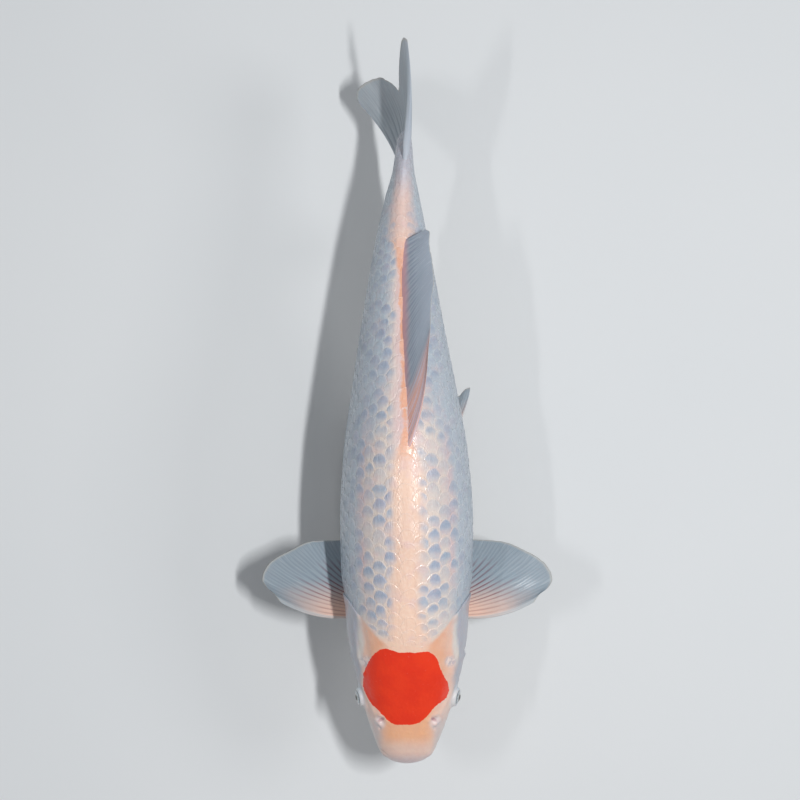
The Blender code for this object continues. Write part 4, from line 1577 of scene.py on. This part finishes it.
@dataclass
class ScaleCoat:
    """Overlapping scales on one side of the body, laid on a chart of its surface.

    The chart's coordinates are the distance from the snout and the arc from the side line, in
    metres. Its turn goes a little past the back and the belly, so a scale may lie across them.
    """

    form: BodyForm
    blend: TailBlend
    side: Side
    rows: ScaleRows = ScaleRows()
    reach: float = math.radians(118)
    chart_columns: int = 160
    chart_step: float = 2.5
    bake_patch: float = 0.003
    bake_scale: float = 1.55  # shares of the unwrapped square for a metre of the body
    bake_middle: float = 0.25
    seed: int = 7
    chart_from: float = 80.0
    chart_to: float = 546.0
    first: float = 88.0  # where the first scales may lie
    last: float = 532.0  # and the last
    body_end: float = 533.9  # just before the last of the body's lines
    uneven_turn: float = 0.06
    kept: tuple[float, Array] | None = None  # the arcs that were asked for last

    def turns(self) -> Array:
        """Turns of the chart's columns, from below the side line to above it."""
        turn = np.linspace(-self.reach, self.reach, self.chart_columns)
        return turn if self.side is Side.LEFT else math.pi - turn

    def arcs(self, along: Array) -> Array:
        """Measure the arc from the side line to each column.

        Args:
            along: distance from the snout.

        Returns:
            One row for each distance.
        """
        points = self.form.surface(along[:, None], self.turns()[None, :])
        steps = np.linalg.norm(np.diff(points, axis=1), axis=-1)
        arc = np.concatenate([np.zeros((len(along), 1)), np.cumsum(steps, axis=1)], axis=1)
        middle = (arc[:, self.chart_columns // 2 - 1] + arc[:, self.chart_columns // 2]) / 2
        return arc - middle[:, None]

    def chart(self) -> Piece:
        """Build the body's surface as a mesh that carries its chart, its normals and its places.

        Returns:
            The helper object, which doesn't render.
        """
        along = np.arange(self.chart_from, self.chart_to, self.chart_step)
        turn = np.broadcast_to(self.turns(), (len(along), self.chart_columns))
        spread = np.broadcast_to(along[:, None], turn.shape)
        base = self.form.surface(np.minimum(spread, self.body_end), turn)
        base[..., 1] += np.maximum(spread - self.body_end, 0)
        outwards = self.form.outwards(np.minimum(spread, self.body_end - 0.4), turn)
        shaped = self.blend.shape(base.reshape(-1, 3), spread.ravel(), turn.ravel())
        fish = self.form.on_fish(base, np.minimum(base[..., 1], self.form.lines[-1][0]))
        arc = self.arcs(np.minimum(along, self.body_end))
        flat = np.stack([spread, arc, np.zeros_like(arc)], axis=-1) * MM
        piece = mesh_piece(
            f"chart_{self.side.word}", self.form.place(shaped),
            [grid_faces(len(along), self.chart_columns, False)],
            {"outwards": outwards.reshape(-1, 3), "fish": fish.reshape(-1, 3),
             "girth": self.form.girth(turn).ravel(), "chart": flat.reshape(-1, 3),
             "from_tail": (spread - self.form.tail_seam(turn)).ravel(),
             "from_seam": (spread - self.form.head_seam(turn)).ravel()})
        piece.hide_render = True
        return piece

    def edges(self, along: Array) -> tuple[Array, Array]:
        """Measure the arc from the side line to the back and to the belly.

        Args:
            along: distance from the snout.

        Returns:
            Both arcs.
        """
        arc, turn = self.arcs(along), self.turns()
        sin = np.sin(turn)
        back, belly = int(np.argmax(sin)), int(np.argmin(sin))
        return arc[:, back], arc[:, belly]

    def roots(self) -> tuple[Array, Array]:
        """Place the scales row by row.

        Returns:
            Each scale's middle on the chart, and its half length, half width and relief, in metres.
        """
        pitch, spacing = (np.array(t) for t in (self.rows.pitch, self.rows.spacing))
        stations = [self.first]
        while stations[-1] < self.last:
            stations.append(stations[-1] + float(np.interp(stations[-1], *pitch.T)) / 2)
        along = np.array(stations)
        back, belly = self.edges(np.minimum(along, self.body_end))
        gap = np.minimum(np.interp(along, *spacing.T), np.where(along < 300, back / self.rows.above, 99))
        stem = along > self.rows.dorsal[1]
        above, below = (np.where(stem, abs(edge) / self.rows.on_stem, gap) for edge in (back, belly))
        places, sizes = [], []
        chance = np.random.default_rng(self.seed + self.side.value)
        for k in range(-self.rows.below - 2, self.rows.above + 3):
            gap = above if k > 0 else below
            for i in range(k % 2, len(along), 2):
                arc = k * gap[i]
                if not self.wanted(along[i], arc, gap[i], back[i], belly[i]):
                    continue
                step = np.interp(along[i], *pitch.T)
                ahead, aside, longer, wider = chance.uniform(-self.rows.jitter, self.rows.jitter, 4)
                places.append((along[i] + ahead * step, arc + aside * gap[i], 0))
                sizes.append((self.rows.length * step * (1 + longer) / 2,
                              self.rows.width * gap[i] * (1 + wider) / 2,
                              np.interp(along[i], *np.transpose(self.rows.relief))))
        return np.array(places) * MM, np.array(sizes) * MM

    def wanted(self, along: float, arc: float, gap: float, back: float, belly: float) -> bool:
        """Whether a scale belongs at a place on the chart.

        Args:
            along: distance from the snout.
            arc: arc from the side line.
            gap: distance between rows.
            back: arc to the back.
            belly: arc to the belly.

        Returns:
            True where it does.
        """
        folded = self.turns() if self.side is Side.LEFT else math.pi - self.turns()
        turn = np.array(np.interp(arc, self.arcs_at(along), folded))
        seam, tail = float(self.form.head_seam(turn)), float(self.form.tail_seam(turn))
        # The middle row on the back and on the belly belongs to the left side alone.
        spare = gap * (-0.2 if self.side is Side.LEFT else 0.35)
        top, bottom = back - spare, belly + spare
        if self.rows.dorsal[0] < along < self.rows.dorsal[1]:
            top = back - 2.2
        return (bottom < arc < top
                and seam + self.rows.over_seam < along < tail - self.rows.before_tail)

    def arcs_at(self, along: float) -> Array:
        """Arc to each column at one distance from the snout, kept for the next call."""
        if self.kept is None or self.kept[0] != along:
            self.kept = (along, self.arcs(np.array([min(along, self.body_end)]))[0])
        return self.kept[1]

    def plate(self) -> Piece:
        """Build one thin scale, 2 long and 2 wide, with its free margin towards +X.

        Returns:
            The helper object, which doesn't render.
        """
        angles = np.radians([0, 20, 40, 62, 88, 125, 180, 235, 272, 298, 320, 340])
        rings = ((0.0, 0.0), (0.60, 0.0), (0.92, 0.0), (1.0, -0.07))
        points, places = [], []
        for radius, drop in rings:
            for angle in angles if radius else angles[:1]:
                x, y = radius * math.cos(angle), radius * math.sin(angle)
                squared = max(abs(x), abs(y)) / max(math.hypot(x, y), 1e-9)
                x, y = (v * (1 + 0.16 * (1 - squared) * radius) for v in (x, y))
                points.append((x, y, self.rise(x, y) + drop * MM))
                places.append((x, y, 1))
        points.append((0, 0, self.rise(0, 0) - 0.3 * MM))
        places.append((0, 0, 0))
        count = len(angles)
        under = 1 + 2 * count
        faces = [fan_faces(count, 1, 0), grid_faces(3, count, True, 1)[:, (0, 3, 2, 1)],
                 fan_faces(count, under, len(points) - 1)[:, ::-1]]
        piece = mesh_piece("scale_plate", np.array(points), faces, {"on_scale": np.array(places)})
        turn_outwards(piece)
        rim = range(under, under + count)
        for edge in piece.data.edges:
            edge.use_edge_sharp = all(v in rim for v in edge.vertices)
        piece.hide_render = True
        return piece

    @staticmethod
    def rise(x: float, y: float) -> float:
        """Height of a plate over the body: sunk at the root, proud at the margin, domed across."""
        return (-0.28 + 0.16 * x + 0.05 * math.cos(min(abs(y), 1) * math.pi / 2)
                + 0.12 * max(x, 0) * (1 - 0.6 * abs(y))) * MM

    def tree(self) -> GeometryNodes:
        """Make the tree that puts scales on points of the chart and bends them to the body.

        Returns:
            The tree.
        """
        nodes = GeometryNodes("lay_scales", {
            "Plate": "NodeSocketObject", "Chart": "NodeSocketObject", "Thickness": "NodeSocketFloat",
            "Bake patch": "NodeSocketFloat", "Bake scale": "NodeSocketFloat",
            "Bake middle": "NodeSocketFloat", "Seed": "NodeSocketInt",
            "Material": "NodeSocketMaterial"})
        plate = nodes.add("GeometryNodeObjectInfo", {}, {"Object": nodes.given("Plate")})
        chart = nodes.add("GeometryNodeObjectInfo", {}, {"Object": nodes.given("Chart")})
        tint = nodes.add("FunctionNodeRandomValue", {"data_type": "FLOAT"}, {"Seed": nodes.given("Seed")})
        roll = nodes.add("FunctionNodeRandomValue", {"data_type": "FLOAT"}, {
            2: -self.uneven_turn, 3: self.uneven_turn, "Seed": nodes.given("Seed") + 1})
        points = nodes.store(nodes.given("Geometry"), "tint", tint.outputs[1], "FLOAT", "POINT")
        place = nodes.add("GeometryNodeInputPosition").outputs[0]
        points = nodes.store(points, "root", place, "FLOAT_VECTOR", "POINT")
        size = nodes.parts(nodes.attribute("size", "FLOAT_VECTOR"))
        placed = nodes.add("GeometryNodeInstanceOnPoints", {}, {
            "Points": points, "Instance": plate.outputs["Geometry"],
            "Rotation": nodes.joined(0.0, 0.0, Value(nodes, roll.outputs[1])),
            "Scale": nodes.joined(size[0], size[1], nodes.given("Thickness") * size[2] / MM)})
        real = nodes.add("GeometryNodeRealizeInstances", {}, {0: placed.outputs[0]}).outputs[0]
        along, arc, height = nodes.parts(place)
        flat = nodes.joined(along, arc, 0.0)
        shape, unwrapped = chart.outputs["Geometry"], nodes.attribute("chart", "FLOAT_VECTOR")

        def sampled(field: Any, kind: str) -> Value:
            """What the chart holds where a point of a scale lies on it."""
            sample = nodes.add("GeometryNodeSampleUVSurface", {"data_type": kind}, {
                "Mesh": shape, "Value": field, "Source UV Map": unwrapped, "Sample UV": flat})
            return Value(nodes, sample.outputs[0])

        marked = real
        for name, kind in (("fish", "FLOAT_VECTOR"), ("girth", "FLOAT"), ("from_tail", "FLOAT"),
                           ("from_seam", "FLOAT")):
            marked = nodes.store(marked, name, sampled(nodes.attribute(name, kind), kind), kind, "POINT")
        root = nodes.parts(nodes.attribute("root", "FLOAT_VECTOR"))
        local = nodes.parts(nodes.attribute("on_scale", "FLOAT_VECTOR"))
        half = nodes.given("Bake patch") * 0.5
        unwrap = nodes.joined(
            root[0] * nodes.given("Bake scale") + local[0] * half,
            root[1] * nodes.given("Bake scale") + nodes.given("Bake middle") + local[1] * half, 0.0)
        marked = nodes.store(marked, "OFBake", unwrap, "FLOAT2", "CORNER")
        outwards = sampled(nodes.attribute("outwards", "FLOAT_VECTOR"), "FLOAT_VECTOR")
        bent = nodes.add("GeometryNodeSetPosition", {}, {
            "Geometry": marked, "Position": sampled(place, "FLOAT_VECTOR"),
            "Offset": nodes.scaled(outwards, height)})
        nodes.output(bent.outputs[0], nodes.given("Material"))
        return nodes

    def build(self, tree: GeometryNodes, material: Material) -> Piece:
        """Build all scales of this side as one mesh.

        Args:
            tree: the tree that lays them.
            material: its material.

        Returns:
            The piece.
        """
        places, sizes = self.roots()
        source = mesh_piece(f"scale_roots_{self.side.word}", places, [], {"size": sizes})
        chart, plate = self.chart(), self.plate()
        middle = self.bake_middle + (0.5 if self.side is Side.RIGHT else 0.0)
        piece = tree.grow(source, f"scales_{self.side.word}", {
            "Plate": plate, "Chart": chart, "Thickness": 1.0, "Bake patch": self.bake_patch,
            "Bake scale": self.bake_scale, "Bake middle": middle, "Seed": self.seed + self.side.value,
            "Material": material})
        for helper in (chart, plate):
            bpy.data.objects.remove(helper)
        LOG.info("%s holds %d scales", piece.name, len(places))
        return piece


@dataclass
class Fin:
    """A ribbed sheet of rays. Rows give the root, the margin and the bow of the rays at shares
    across the fin, as (share, from the snout, sideways, up) in millimetres."""

    form: BodyForm
    name: str
    root: Rows
    tips: Rows
    bow: Rows
    rays: int
    finish: FinFinish
    stands_for: tuple[str, ...]
    side: Side = Side.LEFT
    paired: bool = False
    across: tuple[float, float] = (0, 1)
    cells_long: int = 48
    cells_per_ray: int = 12
    flesh: float = 1.7  # half thickness at the root
    web: float = 0.20  # and at the margin
    front_rim: float = 0.5  # how much thicker the outermost rays are, and how far in
    rear_rim: float = 0.0
    rim_width: float = 0.05
    ray_height: float = 0.42
    ray_fade: float = 0.86  # how much flatter the rays are near the margin
    broad: float = 0.46
    split: float = 0.42
    scallop: float = 0.5
    wobble: float = 0.004
    ripple: float = 0.7
    edge: tuple[float, float] = (0.04, 0.007)  # the border's narrow cells, in rays and in reach
    weld: float = 2e-6  # in metres
    pleat: Callable[[Array, Array], Array] | None = None

    def row(self, rows: Rows, share: Array) -> Array:
        """Points of one of the fin's tables at shares across the fin."""
        table = np.array(rows, float)
        along, aside, up = (smooth_through(table[:, 0], table[:, k], share) for k in (1, 2, 3))
        return np.stack([aside * self.side.value, along, up], axis=-1)

    def grid(self) -> tuple[Array, Array, Array]:
        """Place the grid's rows and columns. The last cells at each border are narrow, so that the
        thin edge stays crisp.

        Returns:
            Reach of the rows, and ray number and share across of the columns.
        """
        inner = np.linspace(0, self.rays, self.rays * self.cells_per_ray + 1)[1:-1]
        ray = np.concatenate([[0, self.edge[0]], inner, [self.rays - self.edge[0], self.rays]])
        reach = np.append(np.linspace(0, 1 - self.edge[1], self.cells_long), 1.0)[:, None]
        return reach, ray, np.interp(ray / self.rays, (0, 1), self.across)

    def middle(self) -> tuple[Array, Array]:
        """Place the middle surface.

        Returns:
            Its points in millimetres, and the share of the way to the margin.
        """
        reach, ray, share = self.grid()
        inside = np.sin(math.pi * ray / self.rays)
        waver = np.sin(reach * 7 + ray * 1.7) + np.sin(reach * 13 - ray * 0.9)
        spread = share + self.wobble * (self.across[1] - self.across[0]) * waver * inside * reach
        root, tip, bow = (self.row(rows, spread) for rows in (self.root, self.tips, self.bow))
        length = np.linalg.norm(tip - root, axis=-1)
        notch = 0.5 + 0.5 * np.cos(2 * math.pi * ray)
        uneven = 1 + 0.8 * np.sin(ray * 2.9) * np.sin(ray * 0.8)
        far = reach * (1 - self.scallop * notch * uneven * inside * reach ** 6 / length)
        u = far[..., None]
        points = root * (1 - u) + tip * u + bow * 4 * u * (1 - u)
        if self.paired:
            points[..., 0] += self.form.swing(self.root[0][1])
        return points, far

    def sheet(self) -> Piece:
        """Build the middle surface, with the attributes that the ribs are raised from.

        Returns:
            The helper object.
        """
        points, far = self.middle()
        reach, ray, share = self.grid()
        outwards = unit(np.cross(np.gradient(points, axis=1), np.gradient(points, axis=0)))
        waves = np.sin(ray / self.rays * 15 + far * 3) * np.sin(math.pi * ray / self.rays) ** 0.5
        points = points + outwards * (self.ripple * far ** 2 * waves)[..., None]
        if self.pleat:
            points = points + self.pleat(far, np.broadcast_to(share, far.shape))
        outwards = unit(np.cross(np.gradient(points, axis=1), np.gradient(points, axis=0)))
        border = np.minimum(ray, self.rays - ray)
        rim = np.sqrt(np.clip(border / 0.5, 0, 1)) * np.sqrt(np.clip((1 - reach) / 0.03, 0, 1))
        thinning = np.maximum(1 - far * 1.1, 0)
        first, last = ray / self.rays / self.rim_width, (1 - ray / self.rays) / self.rim_width
        rims = self.front_rim * np.exp(-first ** 2) + self.rear_rim * np.exp(-last ** 2)
        rims = rims * smooth_step(far, 0.0, 0.26)
        thick = self.web + (self.flesh - self.web) * thinning ** 2 + rims * thinning ** 0.8
        crest = self.ray_height * smooth_step(far, 0.02, 0.2) * (1 - 0.55 * far)
        crest = crest * (1 - self.ray_fade * smooth_step(far, 0.35, 0.78))
        values = {"thick": thick * rim * MM, "relief": crest * rim * MM, "ray": ray, "reach": reach,
                  "across": share, "lead": self.lead(share), "split": self.split, "broad": self.broad}
        attributes = {name: np.broadcast_to(value, far.shape).ravel() for name, value in values.items()}
        attributes["outwards"] = outwards.reshape(-1, 3)
        return mesh_piece(f"{self.name}_sheet", self.form.place(points.reshape(-1, 3)),
                          [grid_faces(*far.shape, False)], attributes)

    def lead(self, share: Array) -> Array:
        """How far across the fin a place lies from its leading edge; the tail has one on each lobe."""
        return 1 - np.abs(share) if self.across[0] < 0 else share

    @staticmethod
    def tree() -> GeometryNodes:
        """Make the tree that raises ribs on both faces of a sheet and closes it at its border.

        Returns:
            The tree.
        """
        nodes = GeometryNodes("raise_rays", {
            "Ray height": "NodeSocketFloat", "Weld": "NodeSocketFloat", "Material": "NodeSocketMaterial"})
        ridge = rib_profile(nodes, *(nodes.attribute(name) for name in ("ray", "reach", "split", "broad")))
        height = nodes.attribute("thick") + nodes.attribute("relief") * ridge * nodes.given("Ray height")
        outwards = nodes.attribute("outwards", "FLOAT_VECTOR")
        faces = []
        for sign in (1, -1):
            moved = nodes.add("GeometryNodeSetPosition", {}, {
                "Geometry": nodes.given("Geometry"), "Offset": nodes.scaled(outwards, height * sign)})
            faces.append(moved.outputs[0])
        faces[1] = nodes.add("GeometryNodeFlipFaces", {}, {0: faces[1]}).outputs[0]
        both = nodes.add("GeometryNodeJoinGeometry")
        for face in faces:
            nodes.feed(both.inputs[0], face)
        welded = nodes.add("GeometryNodeMergeByDistance", {}, {
            "Geometry": both.outputs[0], "Distance": nodes.given("Weld")})
        nodes.output(welded.outputs[0], nodes.given("Material"))
        return nodes

    def build(self, tree: GeometryNodes) -> Piece:
        """Build the fin as one closed mesh.

        Args:
            tree: the tree that raises its rays.

        Returns:
            The piece.
        """
        piece = tree.grow(self.sheet(), self.name, {
            "Ray height": 1.0, "Weld": self.weld, "Material": self.finish.make()})
        turn_outwards(piece)
        return piece

    def dress(self, tree: GeometryNodes) -> None:
        """Hand the fin over in place of its nodes."""
        hand_over(self.build(tree), Finish.FIN, *self.stands_for)


def tail_pleat(reach: Array, share: Array) -> Array:
    """Shift the tail's lower lobe, whose inner rays fold up over each other near the margin.

    Args:
        reach: 0 at the root and 1 at the margin.
        share: share across the fin.

    Returns:
        The shift of each point.
    """
    knots = np.array(((-1, 0), (-0.7, -0.5), (-0.36, -4), (-0.16, 4), (-0.03, 0.5), (1, 0)), float)
    lift = smooth_through(knots[:, 0], knots[:, 1], share)
    shift = np.zeros(reach.shape + (3,))
    shift[..., 2] = lift * smooth_step(reach, 0.42, 0.8)
    return shift


@dataclass
class FinSet:
    """Every fin of the fish."""

    form: BodyForm
    pectoral_root: Rows = ((0, 120, 34, -38), (1, 141, 33, -44))
    pectoral_tips: Rows = (
        (0, 131, 106.5, -41), (0.05, 137.5, 110.8, -40.5), (0.11, 144, 118.5, -40),
        (0.17, 150.5, 121.5, -39), (0.34, 163, 116, -39),
        (0.55, 174, 99, -42), (0.78, 182, 78, -47), (1, 183, 54, -52))
    pectoral_bow: Rows = ((0, -7, 1, 2), (0.5, -3, 4, 4), (1, 1, 3, 3))
    pelvic_root: Rows = ((0, 243, 24, -56), (1, 257, 13, -60))
    pelvic_tips: Rows = (
        (0, 305, 53.5, -79), (0.1, 311, 55, -82), (0.2, 309.5, 50.5, -84), (0.35, 304.5, 45, -86),
        (0.6, 299, 36, -87), (0.8, 294, 27, -85), (1, 285, 18, -79))
    pelvic_bow: Rows = ((0, 2, 5, 1), (1, 0, 2, -1))
    dorsal_root: Rows = ((0, 256, 0.5, 76), (0.5, 342, -1.2, 56.5), (1, 430, -2.6, 32))
    dorsal_tips: Rows = (
        (0, 331, 17.8, 86), (0.1, 343, 19, 80), (0.2, 353, 20, 75), (0.44, 379, 21.3, 64),
        (0.6, 397, 23.3, 57), (0.75, 414, 22, 50), (0.88, 428, 19.8, 45), (0.95, 436.5, 20.2, 42),
        (1, 439, 17, 40))
    dorsal_bow: Rows = ((0, -4, 3, 4), (0.5, 0, -1, 5), (1, 0, 0, 2))
    anal_root: Rows = ((0, 384, -2.3, -31), (1, 414, -2.6, -25))
    anal_tips: Rows = (
        (0, 426, 0, -74), (0.12, 436, 0, -77), (0.4, 443, -2, -64), (0.75, 446, -4, -49),
        (1, 444, -4, -39))
    anal_bow: Rows = ((0, -2, 1, -3), (1, 0, 0, -1))
    tail_root: Rows = ((-1, 490, -1.0, -20), (0, 506, -0.7, 0), (1, 490, -1.0, 22))
    tail_tips: Rows = (
        (-1, 552, -38.8, -77), (-0.95, 557.5, -41, -76.5), (-0.88, 562.5, -40.6, -74),
        (-0.79, 567, -36.5, -68.5), (-0.66, 570.5, -29, -59), (-0.5, 571.5, -21, -45),
        (-0.3, 567, -14, -28), (-0.1, 559, -7.5, -10), (0, 556, -6, -2), (0.15, 558, -5.5, 8),
        (0.4, 566, -4.8, 26), (0.7, 580, -4.4, 48), (0.86, 588.5, -3.4, 61), (0.94, 591.6, -1.2, 68),
        (1, 589.5, 1.8, 72.5))
    tail_bow: Rows = (
        (-1, -1, 5, -2), (-0.5, 0, 7, 0), (0, 0, 6, 0), (0.5, 0, 3, 0), (0.85, 0, 3.6, 2), (1, 0, 4.4, 4))
    right_pelvic_out: float = 0.72
    right_pelvic_drop: float = 5.0
    near_root: int = 44  # rows of the tail fin that the flesh may follow

    def paired(self, side: Side) -> list[Fin]:
        """Describe the pectoral and the pelvic fin of one side.

        Args:
            side: the side of the fish.

        Returns:
            Both fins.
        """
        word = side.word
        pectoral = FinFinish(f"pectoral_{word}_skin", smudge=0.6 if side is Side.LEFT else 0.0)
        tips = self.pelvic_tips
        if side is Side.RIGHT:
            tips = tuple((v, along, out * self.right_pelvic_out, up - self.right_pelvic_drop)
                         for v, along, out, up in tips)
        return [
            Fin(self.form, f"pectoral_{word}", self.pectoral_root, self.pectoral_tips,
                self.pectoral_bow, 15, pectoral, (f"pectoral_fin_{word}",), side, True,
                cells_per_ray=13, ray_height=0.45, split=0.5, front_rim=0.9, rim_width=0.06,
                scallop=0.2),
            # The pelvic fins' web and rays are paler than the other fins': partly their own paler tone,
            # partly painted light that brightens them in the body's shade.
            Fin(self.form, f"pelvic_{word}", self.pelvic_root, tips, self.pelvic_bow, 9,
                FinFinish(f"pelvic_{word}_skin", web="98A5B2", ray="B0BDC7", groove_strength=0.5),
                (f"pelvic_fin_{word}",),
                side, True, cells_long=40, split=0.5, rim_width=0.09),
        ]

    def tail(self) -> Fin:
        """Describe the tail fin, both lobes in one sheet.

        Returns:
            The fin.
        """
        finish = FinFinish(
            "tail_skin", root="C9CBD4", web="A9B3BB", ray="BDC6CC", groove="747A8A",
            flesh_band=(0.02, 0.4), flesh_slant=0.0, groove_strength=0.3, front_width=0.06,
            front="B6C0CC", front_streak="C6CED8")
        return Fin(
            self.form, "tail", self.tail_root, self.tail_tips, self.tail_bow, 19, finish,
            ("tail_lobe_upper", "tail_lobe_lower"), across=(-1, 1), cells_long=56, flesh=2.0,
            front_rim=1.5, rear_rim=3.4, rim_width=0.05, ray_height=0.26, broad=0.4, split=0.34,
            ripple=0.5, pleat=tail_pleat)

    def unpaired(self) -> list[Fin]:
        """Describe the dorsal, the anal and the tail fin.

        Returns:
            The three fins.
        """
        dorsal = FinFinish(
            "dorsal_skin", root="CFA5AC", web="8F9AA9", ray="A1ABB7", groove="8F8AA6",
            flesh_band=(0.04, 0.28), flesh_slant=-0.06, groove_strength=0.2, front="E8AC94",
            front_streak="E2D3E0", front_width=0.28, front_share=0.9)
        return [
            Fin(self.form, "dorsal", self.dorsal_root, self.dorsal_tips, self.dorsal_bow, 22,
                dorsal, ("dorsal_fin",), cells_long=40, flesh=1.6, split=0.1, broad=0.34,
                ray_height=0.055, ray_fade=0.2, front_rim=0.9, rim_width=0.03, ripple=0.3),
            Fin(self.form, "anal", self.anal_root, self.anal_tips, self.anal_bow, 8,
                FinFinish("anal_skin", groove_strength=0.5), ("anal_fin",), cells_long=40,
                split=0.5, front_rim=0.8, rim_width=0.09),
            self.tail(),
        ]

    def tail_middle(self) -> Array:
        """Every few points of the tail fin's middle surface."""
        return self.tail().middle()[0][:self.near_root, ::4].reshape(-1, 3)

    def dress(self) -> None:
        """Build every fin with one tree."""
        tree = Fin.tree()
        for fin in self.paired(Side.LEFT) + self.paired(Side.RIGHT) + self.unpaired():
            fin.dress(tree)


@dataclass
class Barbels:
    """Four tapered feelers at the mouth, each with a swollen root."""

    form: BodyForm
    lines: tuple[tuple[str, Triples], ...] = (
        ("front", ((8.5, 14.6, -11), (13, 17, -19), (17, 16.5, -25))),
        ("rear", ((20.5, 21.4, -18.5), (29, 24, -28), (38, 23, -37))))
    swing: float = 1.7
    radius: float = 1.35
    tip: float = 0.42
    round_tip: float = 0.07  # share of the length that the rounded end takes
    root: float = 0.9
    rings: int = 30
    around: int = 14

    def build(self, word: str, knots: Any, side: Side, material: Material) -> Piece:
        """Build one feeler.

        Args:
            word: which pair it is of.
            knots: three points of its line.
            side: the side of the fish.
            material: its material.

        Returns:
            The piece.
        """
        along, out, up = (np.array(k, float) for k in zip(*knots))
        line = np.stack([self.swing + side.value * out, along, up], axis=-1)
        control = 2 * line[1] - (line[0] + line[2]) / 2
        u = np.linspace(0, 1, self.rings)[:, None]
        centre = line[0] * (1 - u) ** 2 + control * 2 * u * (1 - u) + line[2] * u * u
        ahead = unit(np.gradient(centre, axis=0))
        across = unit(np.cross(ahead, [1.0, 0, 0]))
        over = np.cross(ahead, across)
        size = self.radius * (1 - (1 - self.tip) * u) + self.root * (1 - smooth_step(u, 0, 0.3))
        rounding = np.maximum((u - 1 + self.round_tip) / self.round_tip, 0)
        size = size * np.sqrt(np.maximum(1 - rounding ** 2, 0.02))
        rings = centre[:, None] + size[..., None] * circle(across, over, self.around)
        poles = np.concatenate([centre[:1], centre[-1:] + ahead[-1] * 0.1])
        fish = rings.reshape(-1, 3) - (self.swing, 0, 0)
        count = len(fish) + len(poles)
        attributes = {"fish": np.concatenate([fish, fish[:1], fish[-1:]]),
                      "from_seam": np.full(count, BEFORE_SEAM), "girth": np.ones(count),
                      "from_tail": np.full(count, BEFORE_TAIL)}
        return capped_rings(f"feeler_{word}_{side.word}", self.form.place(rings),
                            self.form.place(poles), attributes, material)

    def dress(self, material: Material) -> None:
        """Build all four in place of their nodes.

        Args:
            material: their material.
        """
        for word, knots in self.lines:
            for side in Side:
                piece = self.build(word, knots, side, material)
                hand_over(piece, Finish.LIPS, f"barbel_{word}_{side.word}")


@dataclass
class Stand:
    """The plain stand: its solids stay and get their finishes."""

    def dress(self) -> None:
        """Put paint on the base and brushed steel on the rods."""
        paintwork, steel = PaintedSteel().make(), BrushedSteel().make()
        for name, material in (
                ("stand_base", paintwork), ("stand_rod_front", steel), ("stand_rod_rear", steel)):
            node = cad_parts[name]
            node.data.materials.clear()
            node.data.materials.append(material)
            LOG.info("%s: finished", name)


@dataclass
class Studio:
    """Pale floor, plain soft light and the camera straight above."""

    form: BodyForm
    camera_height: float = 2.6  # over the body's axis
    view_width: float = 0.660  # at the level of the body's axis
    view_centre: tuple[float, float] = (-0.0041, 0.0954)
    sensor: float = 36.0
    floor_half: float = 8.0
    papers: tuple[str, str] = ("DDE0E2", "E3E5E6")
    sky: tuple[float, float, float, float] = (0.86, 0.92, 1.0, 1)
    sky_strength: float = 0.17
    # Each lamp's name, its place to the side and over the floor, its size and its watts.
    lamps: tuple[tuple[str, float, float, tuple[float, float], float], ...] = (
        ("key", 0.52, 2.6, (0.36, 0.06), 38), ("second", -0.95, 2.5, (0.4, 0.05), 5.5),
        ("third", 1.75, 2.1, (0.9, 0.7), 9), ("overhead", 0.0, 3.2, (2.4, 2.4), 7))

    def light(self, name: str, aside: float, height: float, size: tuple[float, float],
              power: float) -> None:
        """A rectangular lamp that looks at the middle of the fish.

        Args:
            name: its name.
            aside: its place to the side.
            height: its height over the floor.
            size: its two sides.
            power: its watts.
        """
        data = bpy.data.lights.new(name, "AREA")
        data.shape = "RECTANGLE"
        data.size, data.size_y = size
        data.energy = power
        lamp = bpy.data.objects.new(name, data)
        bpy.context.scene.collection.objects.link(lamp)
        lamp.location = (aside, self.view_centre[1], height)
        target = Vector((0, self.view_centre[1], self.form.axis_z))
        lamp.rotation_euler = (target - lamp.location).to_track_quat("-Z", "Y").to_euler()

    def floor(self) -> None:
        """A wide sheet of pale paper."""
        corners = np.array(((-1, -1, 0), (1, -1, 0), (1, 1, 0), (-1, 1, 0))) * self.floor_half
        nodes = ShaderNodes("floor_paper", Roughness=0.9)
        shade = nodes.mix(nodes.noise(3, 2), *self.papers)
        floor = mesh_piece("floor", corners, [[(0, 1, 2, 3)]], None, nodes.dress(Base_Color=shade))

    def camera(self) -> None:
        """A long lens, straight above the fish."""
        data = bpy.data.cameras.new("camera")
        data.sensor_width = self.sensor
        data.lens = self.sensor * self.camera_height / self.view_width
        camera = bpy.data.objects.new("camera", data)
        bpy.context.scene.collection.objects.link(camera)
        camera.location = (*self.view_centre, self.form.axis_z + self.camera_height)
        bpy.context.scene.camera = camera
        bpy.context.scene.view_settings.view_transform = "Standard"

    def build(self) -> None:
        """Floor, lamps, surroundings and camera."""
        self.floor()
        for lamp in self.lamps:
            self.light(*lamp)
        world = bpy.data.worlds.new("studio")
        bpy.context.scene.world = world
        world.use_nodes = True
        light = world.node_tree.nodes["Background"].inputs
        light[0].default_value, light[1].default_value = self.sky, self.sky_strength
        self.camera()


def main() -> None:
    """Build every piece in order."""
    logging.basicConfig(level=logging.INFO, format="%(message)s")
    form = BodyForm()
    fins = FinSet(form)
    blend = TailBlend(form, fins.tail_middle())
    wet_skin = Skin(form, blend).dress()
    Barbels(form).dress(wet_skin)
    Eyes(form).dress()
    scale_material = ScaleFinish().make()
    for side in Side:
        coat = ScaleCoat(form, blend, side)
        hand_over(coat.build(coat.tree(), scale_material), Finish.SKIN)
    fins.dress()
    Stand().dress()
    Studio(form).build()


if __name__ == "__main__":
    main()
